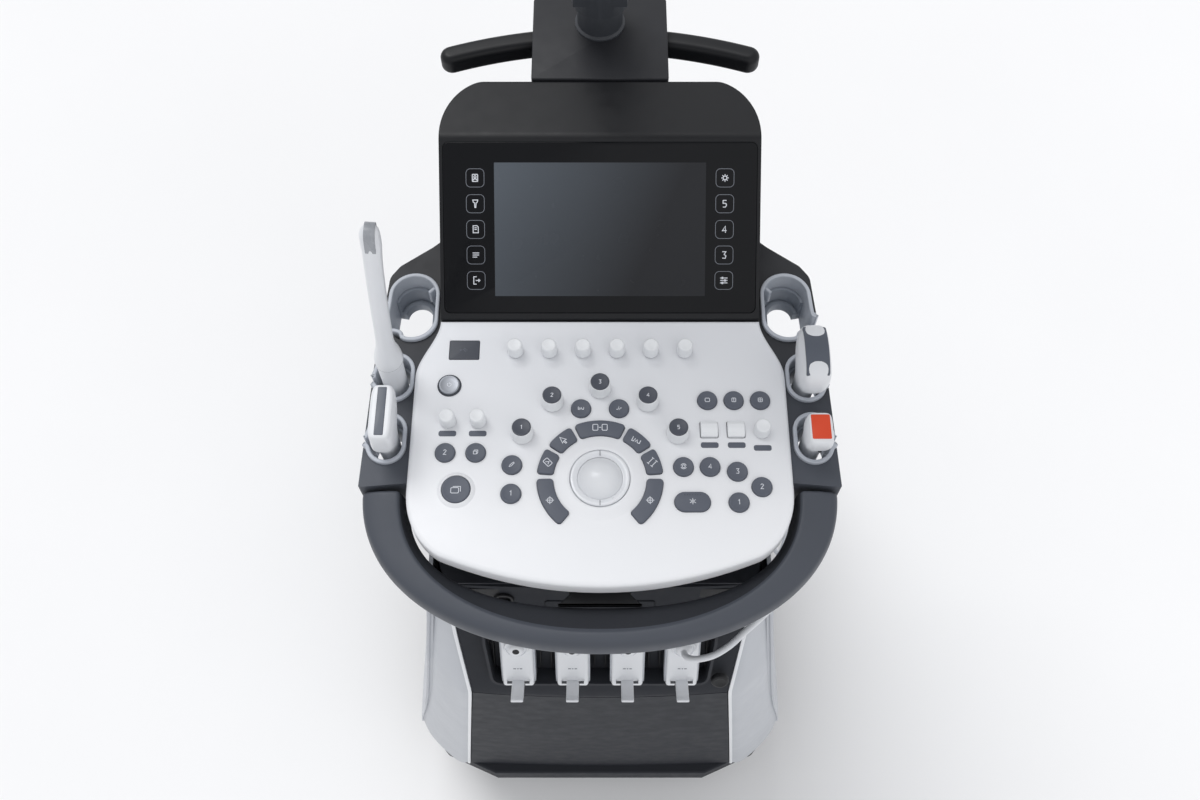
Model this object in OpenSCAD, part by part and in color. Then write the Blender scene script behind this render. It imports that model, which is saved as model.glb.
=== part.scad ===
// Cart-based ultrasound machine: console on a lift column, articulated monitor, four casters.
// +Z is up, +X is the operator's right, the operator stands at -Y. The origin is on the floor.

/* [Body] */
// Height of the body's top rim above the floor
body_top = 765; // [740:1:768]
// Wall thickness of the body's covers
cover_wall = 5; // [4:0.5:6]
// Half width of the body at its base
base_half_w = 262; // [258:1:264]
// Half depth of the base
base_half_d = 360; // [358:1:364]

/* [Casters] */
// Radius of each wheel
wheel_r = 43; // [40:1:43]
// Width of each wheel
wheel_w = 28; // [24:1:32]
// Horizontal distance from swivel axis to wheel axle
wheel_trail = 30; // [24:1:32]

/* [Console] */
// Height of the control panel's top face above the floor, console fully down
panel_top = 850; // [846:1:860]
// Thickness of the control panel
panel_t = 22; // [20:1:24]
// Height of the front handle's bar
handle_h = 34; // [28:1:36]
// Radius of the trackball
ball_r = 25; // [24:0.5:25.5]
// Width of the touch screen housing
touch_w = 330; // [324:1:334]
// Slope of the touch screen above horizontal
touch_tilt = 32.6; // [31:0.1:34]

/* [Monitor] */
// Width of the monitor
monitor_w = 515; // [480:1:530]
// Height of the monitor
monitor_h = 325; // [300:1:330]
// Thickness of the monitor's front shell
monitor_t = 34; // [28:1:38]

/* [Hidden] */
$fn = 48;

// ---- plan of the console: its own origin lies this far in front of the machine's ----
console_y = -98;
gap = 0.35;
fit = 0.05;
eps = 0.01;

// ---- body profiles: value at each height ----
Z_BODY = [150, 200, 300, 400, 500, 600, 690, 765];
function side_x(z) = lookup(z, [[150, 266], [200, 258], [300, 239], [400, 222], [500, 207],
    [600, 193], [690, 181], [765, 174]]);
function dark_x(z) = lookup(z, [[150, 189], [200, 184], [400, 163], [600, 142], [690, 152],
    [765, 156]]);
function front_y(z) = lookup(z, [[150, -345], [400, -342], [600, -336], [700, -284],
    [765, -263]]);
function rear_y(z) = lookup(z, [[150, 318], [400, 255], [600, 220], [765, 200]]);

// ---- controls: centres in the console's plan ----
ball_at = [0, -85];
ball_rise = 13.2;
key_r = 10;
key_rise = 3;
press = 1.5;
KEYS_LEFT = [[-152, -58], [-122, -58], [-86, -71], [-86, -101], [-19, -10], [19, -10]];
KEYS_RIGHT = [[107.5, -1], [134, -1], [160.5, -1], [81.4, -73], [107.3, -73], [133.7, -78],
    [156.6, -94], [133.6, -110]];
TOGGLES = [[108, -33], [134.6, -33]];
MENU_KNOBS = [for (i = [-2.5 : 1 : 2.5]) [34.6 * i, 55]];
SMALL_KNOBS = [[-151, -24], [-121, -24], [160, -35]];
mode_arc_at = [0, -72];
mode_arc_r = 84;
MODE_ANGLES = [-66, -34.5, 0, 34.5, 66];
function mode_at(i) = mode_arc_at + mode_arc_r * [sin(MODE_ANGLES[i]), cos(MODE_ANGLES[i])];
arc_in = 45.5;
arc_out = 61.5;
// middle angle from the rear and half sweep of each arc key
ARC_KEYS = [[0, 24.5], [-42, 13.5], [42, 13.5], [-72.5, 13], [72.5, 13], [-116, 25], [116, 25]];
power_at = [-152, 16];
print_at = [-139, -97];
freeze_at = [89, -109.5];

// ---- probe cups: centre, half width and half length of the rim, middle of the slot; right side ----
cup_wall = 5;
CUPS = [[196, 112, 27, 41, -20], [210, 29, 21, 28, 0], [212, -39, 20, 28, 0]];
cup_floor = 790;
tray_top = panel_top - 8;
tray_bottom = 790;
cup_rim = tray_top + 4;

// ---- touch unit, in the console's plan ----
touch_front = 93;
touch_len = 185;
touch_base = panel_top + 2;
touch_rear = 326;
glass_t = 3;
touch_top = touch_base + touch_len * sin(touch_tilt);
touch_knee = touch_front + touch_len * cos(touch_tilt);

// ---- ports: a plane that leans back, holding the four connectors ----
port_at = [0, -320, 662];
port_lean = 62;
port_pitch = 58.6;
face_at = [0, -273.5, 732.5];
face_lean = 72;
lever_v = -25;
drawer_depth = 110;
// the flat pad on the rear cover that takes accessories
accessory_y = 258;

// ---- lift column and monitor arm ----
column_at = [0, -40];
column_r = 35;
post_at = [0, 307];
elbow = [292, 1060];
wrist = [232, 1300];
tilt_at = [188, 1342];
monitor_y = 120;
monitor_z = 1180;

// ---- casters ----
CASTERS = [[-205, -285], [205, -285], [-205, 285], [205, 285]];
stem_r = 8;
axle_r = 5;
fork_top = 96;
base_z = 100;

// ---- probe cable: from its connector to the clip, then a hanging loop to the probe ----
cable_d = 7;
clip_at = [224, -115, 776];
CABLE = [[88, -313.6, 693.8], [88.4, -318.4, 696.4], [93, -322.5, 700], [103, -324, 705],
    [118, -321, 710], [134, -312, 714], [150, -298.5, 718], [167, -284, 717], [183, -267, 706],
    [195, -248, 688], [202, -228, 664], [207, -208, 648], [211, -189, 648], [215, -171, 664],
    [219, -156, 692], [222, -143.5, 724], [223.6, -137, 750], [224, -133.5, 763],
    [224, -129.5, 772], [224, -126, 775.8], [224, -122.6, 776]];
CABLE_LOOP = [[224, -107.2, 776], [225, -98, 774.5], [227.5, -92, 766], [230, -90, 748], [233, -90, 715],
    [237, -90, 670], [241, -91, 610], [245, -91, 540], [249, -90, 470], [253, -88, 400],
    [258, -82, 330], [262, -66, 272], [263, -44, 243], [263, -18, 238], [262, 6, 262],
    [258, 22, 310], [253, 30, 380], [248, 33, 460], [243, 33, 540], [238, 30, 605],
    [232, 18, 660], [224, -8, 703], [216, -38, 728], [211.5, -58, 741], [210.1, -68.4, 752],
    [210, -69, 761]];

// ================= helpers =================
// A solid through stacked rings of 3-D points, all with the same count, each counter-clockwise.
// A strip is a bent wall: the second half of its ring runs back along the first.
module loft(rings, strip = false) {
    n = len(rings[0]);
    last = len(rings) - 1;
    points = [for (r = rings) each r];
    sides = [for (k = [0 : last - 1], i = [0 : n - 1]) let (a = k * n + i, b = k * n + (i + 1) % n)
        each [[a, a + n, b], [b, a + n, b + n]]];
    floor_faces = strip ? [for (i = [0 : n / 2 - 2]) [i, i + 1, n - 2 - i, n - 1 - i]]
        : [[for (i = [0 : n - 1]) i]];
    top_faces = [for (f = floor_faces) [for (i = [len(f) - 1 : -1 : 0]) last * n + f[i]]];
    polyhedron(points, concat(floor_faces, sides, top_faces), convexity = 6);
}
function ellipse(cx, cy, a, b, z, n = 24) =
    [for (i = [0 : n - 1]) [cx + a * cos(360 * i / n), cy + b * sin(360 * i / n), z]];
function mirrored(points) = [for (i = [len(points) - 1 : -1 : 0]) [-points[i][0], points[i][1]]];
module on_console() { translate([0, console_y, 0]) children(); }
module both_sides() {
    children();
    mirror([1, 0, 0]) children();
}
module stadium(w, l) {
    r = min(w, l) / 2;
    square([w - (w > l ? 2 * r : 0), l - (l > w ? 2 * r : 0)], center = true);
    for (s = [-1, 1]) {
        translate([w > l ? s * (w / 2 - r) : 0, l > w ? s * (l / 2 - r) : 0]) circle(r);
    }
}
module rounded_rect(w, l, r) {
    square([w - 2 * r, l], center = true);
    square([w, l - 2 * r], center = true);
    for (x = [-1, 1], y = [-1, 1]) translate([x * (w / 2 - r), y * (l / 2 - r)]) circle(r);
}
module slab(z0, z1) { translate([0, 0, z0]) linear_extrude(z1 - z0) children(); }
module at_port() { translate(port_at) rotate([port_lean, 0, 0]) children(); }
module at_face() { translate(face_at) rotate([face_lean, 0, 0]) children(); }
module ring_sector(r0, r1, mid, half) {
    steps = 16;
    polygon(concat(
        [for (i = [0 : steps]) let (a = mid - half + 2 * half * i / steps) r1 * [sin(a), cos(a)]],
        [for (i = [steps : -1 : 0]) let (a = mid - half + 2 * half * i / steps)
            r0 * [sin(a), cos(a)]]));
}

// ================= base =================
module base_outline(inset, c = 110) {
    w = base_half_w - inset;
    d = base_half_d - inset;
    polygon([[-w + c, -d], [w - c, -d], [w - c * 0.3, -d + c * 0.3], [w, -d + c],
        [w, d - c], [w - c * 0.3, d - c * 0.3], [w - c, d], [-w + c, d],
        [-w + c * 0.3, d - c * 0.3], [-w, d - c], [-w, -d + c], [-w + c * 0.3, -d + c * 0.3]]);
}
module base_frame() {
    color("dimgray") difference() {
        slab(base_z + 2, base_z + 26) base_outline(8);
        for (c = CASTERS) translate([c[0], c[1], 90]) cylinder(r = stem_r + fit, h = 60);
    }
}
module base_cover() {
    color("#2e3033") difference() {
        slab(base_z, 150) base_outline(0);
        slab(base_z - 1, 145) base_outline(8 - eps);
        slab(140, 160) translate([-150, -200]) square([300, 400]);
    }
}
module caster_fork(c, s) {
    color("silver") translate([c[0], c[1], 0]) {
        translate([0, 0, fork_top - 2]) cylinder(r = stem_r, h = 28);
        translate([0, 0, fork_top - 8]) cylinder(r = 22, h = 7);
        for (side = [-1, 1]) translate([side * (wheel_w / 2 + 3.5), 0, 0]) rotate([90, 0, 90])
            linear_extrude(4, center = true)
                polygon([[-14, fork_top - 2], [-12, fork_top - 30], [s * wheel_trail - 8, wheel_r - 9],
                    [s * wheel_trail + 8, wheel_r - 9], [s * wheel_trail + 9, wheel_r + 4],
                    [14, fork_top - 2]]);
        translate([0, 0, fork_top - 5]) cube([wheel_w + 11, 26, 6], center = true);
        translate([0, s * wheel_trail, wheel_r]) rotate([0, 90, 0])
            cylinder(r = axle_r, h = wheel_w + 14, center = true);
    }
}
module caster_wheel(c, s) {
    color("#26282b") translate([c[0], c[1] + s * wheel_trail, wheel_r]) rotate([0, 90, 0])
        rotate_extrude() polygon([[axle_r + fit, -wheel_w / 2 + 1.5], [wheel_r - 13, -wheel_w / 2 + 1.5],
            [wheel_r - 11, -wheel_w / 2], [wheel_r - 4, -wheel_w / 2], [wheel_r, -wheel_w / 2 + 5],
            [wheel_r, wheel_w / 2 - 5], [wheel_r - 4, wheel_w / 2], [wheel_r - 11, wheel_w / 2],
            [wheel_r - 13, wheel_w / 2 - 1.5], [axle_r + fit, wheel_w / 2 - 1.5]]);
}

// ================= body =================
function side_path(z, t) = let (d = dark_x(z), w = side_x(z) - d, f = front_y(z), r = rear_y(z)) [
    [d + gap, f + t], [d + 0.25 * w, f + 0.04 * w + t], [d + 0.7 * w - 0.3 * t, f + 0.42 * w + t],
    [d + 0.92 * w - 0.8 * t, f + 0.75 * w + 0.6 * t], [d + w - t, f + 1.15 * w + 0.4 * t],
    [d + w - t, r - 40 - t], [d + w - 12 - t, r - 12 - t], [d + w - 40 - t, r - t],
    [d - 30, r - t]];
function side_ring(z) = [for (p = concat(side_path(z, 0),
    [for (i = [8 : -1 : 0]) side_path(z, cover_wall)[i]])) [p[0], p[1], z]];
module side_panel() { loft([for (z = Z_BODY) side_ring(z)], strip = true); }
module side_panel_right() { color("#c6c8cc") side_panel(); }
module side_panel_left() { color("#c6c8cc") mirror([1, 0, 0]) side_panel(); }
// A curved plate that follows the body's front between its two side panels
module front_plate(z_list) {
    loft([for (z = z_list) let (w = dark_x(z), y = front_y(z), bow = 4)
        [for (p = [[-w, y], [-w / 2, y - bow * 0.75], [0, y - bow], [w / 2, y - bow * 0.75], [w, y],
            [w, y + cover_wall], [-w, y + cover_wall]]) [p[0], p[1], z]]]);
}
module front_panel_lower() { color("#3e4044") front_plate([150, 300, 450, 598]); }
module front_panel_upper() {
    color("#3a3c40") difference() {
        front_plate([706, 735, 765]);
        at_face() translate([0, 0, -20]) linear_extrude(40) rounded_rect(113, 22, 3);
        at_face() translate([-98, 12, -20]) cylinder(r = 10.4, h = 40);
    }
    color("#222427") at_face() translate([-98, 12, -3]) difference() {
        cylinder(r = 10, h = 9);
        translate([0, 0, 2]) cylinder(r = 7.5, h = 9);
    }
}
module disc_drawer() {
    color("#3a3c40") at_face() {
        translate([0, 0, -1.5]) linear_extrude(6) rounded_rect(112, 21, 3);
        translate([0, 0, -1.5 - drawer_depth / 2]) difference() {
            cube([106, 13, drawer_depth], center = true);
            translate([0, 4, 0]) cube([100, 13, drawer_depth - 6], center = true);
        }
    }
}
module port_bezel() {
    color("#333538") difference() {
        at_port() translate([0, -3, -30]) linear_extrude(30) rounded_rect(286, 108, 6);
        at_port() translate([0, -1, -24]) linear_extrude(40) rounded_rect(250, 94, 14);
        at_port() for (x = [-1.5 : 1 : 1.5]) translate([port_pitch * x, 0, -40])
            linear_extrude(60) rounded_rect(30, 72, 3);
        translate([-200, -400, 500]) cube([400, 400, 98.5]);
        translate([-200, -400, 706]) cube([400, 400, 100]);
    }
    color("#1d1e20") at_port() translate([132, -32, -4]) cylinder(r = 6, h = 9);
}
module port_sockets() {
    color("#8d9096") at_port() for (x = [-1.5 : 1 : 1.5]) translate([port_pitch * x, 0, -52])
        linear_extrude(27) rounded_rect(29, 70, 3);
}
module connectors() {
    color("#f1f2f3") at_port() for (x = [-1.5 : 1 : 1.5]) translate([port_pitch * x, 0, 0]) {
        difference() {
            union() {
                translate([0, 0, -23.5]) linear_extrude(21.5) rounded_rect(34, 88, 5);
                translate([0, 0, -3]) linear_extrude(4) rounded_rect(31, 85, 5);
                translate([0, 31, 0]) cylinder(r = 9, h = 5);
                translate([0, 31, 4]) cylinder(r = 6, h = 5);
                for (s = [-1, 1]) translate([s * 10, lever_v, 3]) cube([4, 10, 8], center = true);
            }
            translate([0, lever_v, 3]) rotate([0, 90, 0]) cylinder(r = 1.5 + fit, h = 40, center = true);
        }
    }
}
module connector_levers() {
    color("#f1f2f3") at_port() for (x = [-1.5 : 1 : 1.5]) translate([port_pitch * x, lever_v, 3]) {
        rotate([0, 90, 0]) cylinder(r = 1.5, h = 24, center = true);
        rotate([90, 0, 0]) linear_extrude(3.6, center = true) translate([0, 13]) stadium(14, 28);
    }
}
module accessory_holes() {
    for (x = [-1, 1], z = [-1, 1]) translate([37.5 * x, 150, 450 + 37.5 * z])
        rotate([-90, 0, 0]) cylinder(r = 2.5, h = 200);
}
module rear_cover() {
    color("#3a3c40") difference() {
        loft([for (z = [150, 300, 450, 600, 765]) let (w = dark_x(z) - 31, y = rear_y(z))
            [[-w, y - cover_wall, z], [w, y - cover_wall, z], [w, y, z], [-w, y, z]]]);
        for (i = [0 : 6]) translate([0, 240, 560 + 16 * i]) cube([150, 200, 7], center = true);
        accessory_holes();
    }
    color("#3a3c40") difference() {
        translate([-55, 234, 395]) cube([110, accessory_y - 234, 110]);
        accessory_holes();
    }
}
module top_deck() {
    color("#2b2d30") difference() {
        slab(body_top, body_top + 5) polygon([[-156, -263], [156, -263], [174, -205], [174, 160],
            [150, 200], [-150, 200], [-174, 160], [-174, -205]]);
        slab(body_top - 1, body_top + 6) translate(column_at) circle(column_r + 2);
        slab(body_top + 2, body_top + 6) translate([0, -205]) square([250, 70], center = true);
    }
}
module electronics_rack() {
    color("slategray") difference() {
        translate([-125, -150, 150]) cube([250, 330, 300]);
        translate([-100, -151, 170]) cube([200, 60, 260]);
        slab(140, 460) translate(column_at) circle(46);
    }
    color("darkgreen") for (i = [-3 : 3]) translate([26 * i - 1, -145, 176]) cube([2, 54, 248]);
}
module lift_guide() {
    color("gray") difference() {
        union() {
            slab(126, 740) translate(column_at) circle(45);
            slab(126, 136) translate(column_at) circle(80);
        }
        slab(136, 741) translate(column_at) circle(column_r + fit);
    }
}

// ================= console =================
module lift_post() {
    color("lightgray") {
        slab(380, 784) translate(column_at) circle(column_r);
        slab(784, tray_bottom) translate(column_at) circle(75);
    }
}
function half_panel(g) = concat(
    [for (i = [0 : 8]) let (t = i / 8) [166 - g + 22 * (3 * t * t - 2 * t * t * t), 92.6 - 64.6 * t]],
    [for (a = [0 : 6.5 : 65]) [128 + (60 - g) * cos(a), -97 - (72 - g) * sin(a)]],
    [for (x = [140 : -20 : 20]) [x, -193 + g + x * x / 766]], [[0, -193 + g]]);
function half_tray() = concat([[0, 262], [150, 262], [163, 200], [177, 190], [214, 161], [221, 157],
    [224, 150], [232, 40], [235, -40], [236, -90.5], [186, -90.5]],
    [for (a = [10 : 11 : 65]) [124 + 56 * cos(a), -88 - 66 * sin(a)]], [[100, -160], [0, -172]]);
function whole(half) = concat(half, [for (i = [len(half) - 2 : -1 : 1]) [-half[i][0], half[i][1]]]);
module panel_outline(g = 0) { polygon(concat(whole(half_panel(g)), [[-166 + g, 92.6]])); }
module console_tray() {
    color("#34363b") on_console() difference() {
        slab(tray_bottom, tray_top) polygon(concat(whole(half_tray())));
        slab(panel_top - panel_t, panel_top) panel_outline(-0.5);
        slab(panel_top - panel_t, panel_top) translate([0, 180]) square([touch_w + 1, 176], center = true);
        translate([ball_at[0], ball_at[1], 811]) cylinder(r = 27, h = 40);
        both_sides() for (c = CUPS) translate([c[0], c[1], 780]) linear_extrude(80)
            stadium(2 * c[2], 2 * c[3]);
        both_sides() for (c = CUPS) translate([c[0] + 15, c[1] + c[4] - 12, 780])
            cube([60, 24, 80]);
        translate([-36, -214, 795]) cube([72, 70, 40]);
        both_sides() translate([199, -92, 795.5]) cube([36, 13.5, 31]);
    }
    cable_clip();
}
module cable_clip() {
    color("#34363b") translate([clip_at[0] - 7, clip_at[1] - 7, clip_at[2] - 7])
        cube([14, 14, tray_bottom - clip_at[2] + 7]);
}
module control_panel() {
    color("#eeeff1") on_console() difference() {
        slab(panel_top - panel_t, panel_top) panel_outline();
        translate([ball_at[0], ball_at[1], 820]) cylinder(r = ball_r + 1, h = 40);
        slab(panel_top - 4, panel_top + 1) translate(ball_at) circle(29.3);
        for (k = concat(KEYS_LEFT, KEYS_RIGHT)) slab(panel_top - 9, panel_top + 1)
            translate(k) circle(key_r + gap);
        for (k = TOGGLES) slab(panel_top - 9, panel_top + 1) translate(k) square(18, center = true);
        for (k = concat(MENU_KNOBS, SMALL_KNOBS)) slab(panel_top - 16, panel_top + 1)
            translate(k) circle(3 + fit);
        for (i = [0 : 4]) slab(panel_top - 16, panel_top + 1) translate(mode_at(i)) circle(3 + fit);
        for (a = ARC_KEYS) slab(panel_top - 9, panel_top + 1) translate(ball_at)
            ring_sector(arc_in - gap, arc_out + gap, a[0], a[1] + 0.4);
        slab(panel_top - 9, panel_top + 1) translate(power_at) circle(10.5 + gap);
        slab(panel_top - 9, panel_top + 1) translate(print_at) circle(14 + gap);
        slab(panel_top - 9, panel_top + 1) translate(freeze_at) stadium(35 + 2 * gap, 20 + 2 * gap);
        slab(panel_top - 3, panel_top + 1) translate([-139, 57]) rounded_rect(31, 22.5, 1.5);
    }
}
module usb_cover() {
    color("#3d4046") on_console() slab(panel_top - 3, panel_top + 0.6) translate([-139, 57])
        rounded_rect(30.6, 22.1, 1.3);
}
// Bar that curves round the front of the console, thickest at its middle line
function handle_ring(t) = let (
        o = [235 * sign(cos(t)) * pow(abs(cos(t)), 0.95), -91 - 155 * pow(sin(t), 0.95)],
        i = [190 * sign(cos(t)) * pow(abs(cos(t)), 0.83), -91 - 110 * pow(sin(t), 0.83)],
        h = handle_h + 11 * pow(1 - sin(t), 2),
        zb = 830 - handle_h)
    [for (p = [[0.00, 0.36], [0.04, 0.74], [0.14, 0.92], [0.36, 1.00], [0.62, 0.92], [0.86, 0.72],
        [1.00, 0.32], [0.95, 0.12], [0.72, 0.02], [0.30, 0.00], [0.08, 0.10]])
        [o[0] + (i[0] - o[0]) * p[0], o[1] + (i[1] - o[1]) * p[0], zb + h * p[1]]];
module front_handle() {
    color("#50545b") on_console() {
        loft([for (t = [0 : 5 : 180]) handle_ring(t)]);
        both_sides() translate([199.5, -91, 796]) cube([35, 12, 30]);
    }
}
module cup(c) {
    difference() {
        translate([c[0], c[1], cup_floor]) linear_extrude(cup_rim - cup_floor)
            stadium(2 * c[2] - 0.02, 2 * c[3] - 0.02);
        translate([c[0], c[1], cup_floor + 5]) linear_extrude(80)
            stadium(2 * c[2] - 2 * cup_wall, 2 * c[3] - 2 * cup_wall);
        translate([c[0], c[1], cup_floor - 5]) linear_extrude(80) stadium(25, 36);
        translate([c[0], c[1] + c[4] - 9, cup_floor - 5]) cube([60, 18, 90]);
    }
}
module probe_cups() { color("#9a9fa7") on_console() both_sides() for (c = CUPS) cup(c); }
module touch_housing() {
    plan = [[165, 93], [165, 256], [163, 278], [156, 298], [144, 313], [130, 322], [112, 326], [0, 326]];
    color("#1c1d20") on_console() difference() {
        intersection() {
            slab(panel_top - panel_t + 0.5, touch_top + 1) polygon(concat(
                [for (p = plan) [p[0] * touch_w / 330, p[1]]],
                [for (i = [len(plan) - 2 : -1 : 0]) [-plan[i][0] * touch_w / 330, plan[i][1]]]));
            rotate([90, 0, 90]) linear_extrude(400, center = true)
                polygon([[93, 829], [93, touch_base], [touch_knee - 12, touch_top - 8],
                    [touch_knee - 5, touch_top - 4], [touch_knee + 4, touch_top - 1],
                    [touch_knee + 14, touch_top], [touch_rear, touch_top - 2],
                    [touch_rear, touch_top - 16], [262, 842], [262, 829]]);
        }
        at_touch() translate([0, 93, -glass_t]) linear_extrude(20) rounded_rect(322.4, 174.4, 6.2);
    }
}
module at_touch() { translate([0, touch_front, touch_base]) rotate([touch_tilt, 0, 0]) children(); }
module touch_glass() {
    color("#15161a") on_console() at_touch() translate([0, 93, -glass_t]) linear_extrude(glass_t + 0.3)
        rounded_rect(322, 174, 6);
}
module rear_bridge() {
    color("#2f3135") on_console() {
        slab(937, 951) translate([0, touch_rear + 57.5]) square([145, 114], center = true);
        slab(842, 937) translate([0, touch_rear + 23]) square([110, 45], center = true);
        slab(951, 985) translate([0, 405]) circle(24);
        slab(951, 1020) translate([0, 405]) circle(15);
    }
}
function polar(r, a) = [r * sin(a), r * cos(a)];
module rear_handle() {
    mid = 490;
    r = 18;
    half = 20;
    color("#2b2d31") on_console() slab(909, 937) translate([0, -92]) polygon(concat(
        [for (a = [-half : 2.5 : half]) polar(mid + r, a)],
        [for (b = [20 : 20 : 160]) polar(mid, half) + polar(r, half + b)],
        [for (a = [half : -2.5 : -half]) polar(mid - r, a)],
        [for (b = [20 : 20 : 160]) polar(mid, -half) + polar(r, 180 - half + b)]));
}
module release_paddle() {
    color("#1b1c1f") on_console() {
        translate([-34, -197, 812]) cube([68, 51, 5]);
        translate([0, -148, 812]) rotate([0, 90, 0]) cylinder(r = 4, h = 68, center = true);
    }
}
module trackball() {
    color("#dfe1e4") on_console() translate([ball_at[0], ball_at[1], panel_top + 2 - ball_rise])
        sphere(ball_r, $fn = 64);
}
module trackball_ring() {
    color("#e6e8ea") on_console() difference() {
        slab(panel_top - 4, panel_top + 3) translate(ball_at) circle(29);
        translate([ball_at[0], ball_at[1], panel_top + 2 - ball_rise]) sphere(ball_r + 0.4, $fn = 64);
    }
}
module round_key(at, r = key_r, rise = key_rise) {
    translate([at[0], at[1], panel_top - 6]) cylinder(r = r, h = 6 + rise - 1);
    translate([at[0], at[1], panel_top + rise - 1]) cylinder(r1 = r, r2 = r - 1, h = 1);
}
module power_button() { color("#b9bcc1") on_console() round_key(power_at, 10.5, 3.5); }
module print_key() { color("#5a5e68") on_console() round_key(print_at, 14, 3.5); }
module freeze_key() {
    color("#5a5e68") on_console() slab(panel_top - 6, panel_top + key_rise) translate(freeze_at)
        stadium(35, 20);
}
module keys_left() { color("#5a5e68") on_console() for (k = KEYS_LEFT) round_key(k); }
module keys_right() { color("#5a5e68") on_console() for (k = KEYS_RIGHT) round_key(k); }
module arc_keys() {
    color("#5a5e68") on_console() for (a = ARC_KEYS) slab(panel_top - 6, panel_top + key_rise)
        translate(ball_at) ring_sector(arc_in, arc_out, a[0], a[1]);
}
module toggles() {
    color("#eceded") on_console() for (k = TOGGLES) translate([k[0], k[1], panel_top - 2])
        rotate([90, 0, 90]) linear_extrude(17, center = true)
            polygon([[-8.3, 0], [8.3, 0], [8, 5], [2, 7.5], [-2, 7.5], [-8, 5]]);
}
module knob(at, r0, r1, h) {
    translate([at[0], at[1], panel_top - 13]) cylinder(r = 3, h = 16);
    translate([at[0], at[1], panel_top + 1.5]) cylinder(r1 = r0, r2 = r1, h = h - 1.5);
}
module menu_knobs() {
    color("#f0f1f2") on_console() for (k = concat(MENU_KNOBS, SMALL_KNOBS)) knob(k, 8, 7, 16);
}
module mode_knob(i) {
    color("#474a52") on_console() {
        knob(mode_at(i), 11, 10.4, 8);
        translate([mode_at(i)[0], mode_at(i)[1], panel_top + 8]) cylinder(r1 = 9.2, r2 = 9, h = 10);
    }
}
module mode_knob_1() { mode_knob(0); }
module mode_knob_2() { mode_knob(1); }
module mode_knob_3() { mode_knob(2); }
module mode_knob_4() { mode_knob(3); }
module mode_knob_5() { mode_knob(4); }

// ================= probes =================
module probe_endocavity() {
    color("#e9eaec") on_console() translate([-CUPS[1][0], CUPS[1][1], 0]) loft([
        ellipse(0, 0, 8, 9, 772), ellipse(0, 0, 11, 13, 800), ellipse(0, 0, 12, 15, 850),
        ellipse(1, 0, 13.5, 15, 880), ellipse(1.5, 0, 12.5, 13, 898), ellipse(3.5, 0, 8.8, 8.8, 918),
        ellipse(9, 2, 8.4, 8.4, 985), ellipse(15, 3, 8.4, 8.4, 1045), ellipse(18, 4, 8.8, 8.8, 1072),
        ellipse(19.5, 5, 8.8, 8.8, 1090), ellipse(20.5, 5, 6.5, 6.5, 1100)]);
}
module probe_linear() {
    color("#e9eaec") on_console() translate([-CUPS[2][0], CUPS[2][1], 0]) loft([
        ellipse(0, 0, 7, 8, 762), ellipse(0, 0, 10, 13, 790), ellipse(0, 0, 11, 15, 840),
        ellipse(2, -1, 11, 22, 862), ellipse(4, -2, 11.5, 28, 882), ellipse(6, -3, 11.5, 28, 905),
        ellipse(6, -3, 8, 25, 912)]);
}
module probe_convex() {
    color("#e9eaec") on_console() translate([CUPS[1][0], CUPS[1][1], 0]) loft([
        ellipse(0, 0, 7, 8, 762), ellipse(0, 0, 10, 14, 790), ellipse(0, 0, 11, 16, 840),
        ellipse(-1, -3, 13, 26, 866), ellipse(-2, -6, 14.5, 32, 888), ellipse(-2, -8, 14, 32, 906),
        ellipse(-2, -8, 12, 25, 917), ellipse(-2, -8, 8, 12, 922)]);
}
module probe_phased() {
    color("#e9eaec") on_console() translate([CUPS[2][0], CUPS[2][1], 0]) loft([
        ellipse(0, 0, 7, 8, 786), ellipse(0, 0, 10, 12, 800), ellipse(0, 0, 11, 14, 846),
        ellipse(-1, -6, 12.5, 17, 864), ellipse(-2, -11, 12.5, 18, 884), ellipse(-2, -12, 11, 15, 894)]);
}
// A round tube swept along a cable's points; aside is a direction the cable never takes
module tube(route, aside) {
    n = len(route);
    sides = 8;
    loft([for (k = [0 : n - 1]) let (
            d = route[min(k + 1, n - 1)] - route[max(k - 1, 0)],
            w = d / norm(d),
            u = cross(aside, w) / norm(cross(aside, w)),
            v = cross(w, u))
        [for (i = [0 : sides - 1]) route[k]
            + cable_d / 2 * (cos(360 * i / sides) * u + sin(360 * i / sides) * v)]]);
}
module probe_cable() { color("#e4e6e8") tube(CABLE, [0, 0, 1]); }
module probe_cable_loop() { color("#e4e6e8") tube(CABLE_LOOP, [1, 0, 0]); }

// ================= monitor =================
module yz_prism(w, points) {
    rotate([90, 0, 90]) linear_extrude(w, center = true) polygon(points);
}
module arm_lower() {
    color("#3a3d42") difference() {
        union() {
            slab(985.4, 1024) translate(post_at) circle(30);
            yz_prism(56, [[280, 1000], [330, 1000], [322, 1030], [304, 1072], [284, 1076], [278, 1060]]);
        }
        slab(980, 1021) translate(post_at) circle(15 + fit);
        translate([0, elbow[0], elbow[1]]) cube([40.8, 44, 44], center = true);
    }
    color("#3a3d42") translate([0, elbow[0], elbow[1]]) rotate([0, 90, 0])
        cylinder(r = 6, h = 56, center = true);
}
module arm_upper() {
    d = wrist - elbow;
    a = atan2(d[1], d[0]);
    color("#3a3d42") translate([0, elbow[0], elbow[1]]) rotate([0, 90, 0])
        difference() {
            cylinder(r = 18, h = 40, center = true);
            cylinder(r = 6 + fit, h = 60, center = true);
        }
    color("#3a3d42") translate([0, elbow[0], elbow[1]]) rotate([a, 0, 0])
        translate([-18, 16, -15]) cube([36, norm(d) - 32, 30]);
    color("#3a3d42") translate([0, wrist[0], wrist[1]]) rotate([0, 90, 0])
        difference() {
            cylinder(r = 18, h = 40, center = true);
            cylinder(r = 6 + fit, h = 60, center = true);
        }
}
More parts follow.
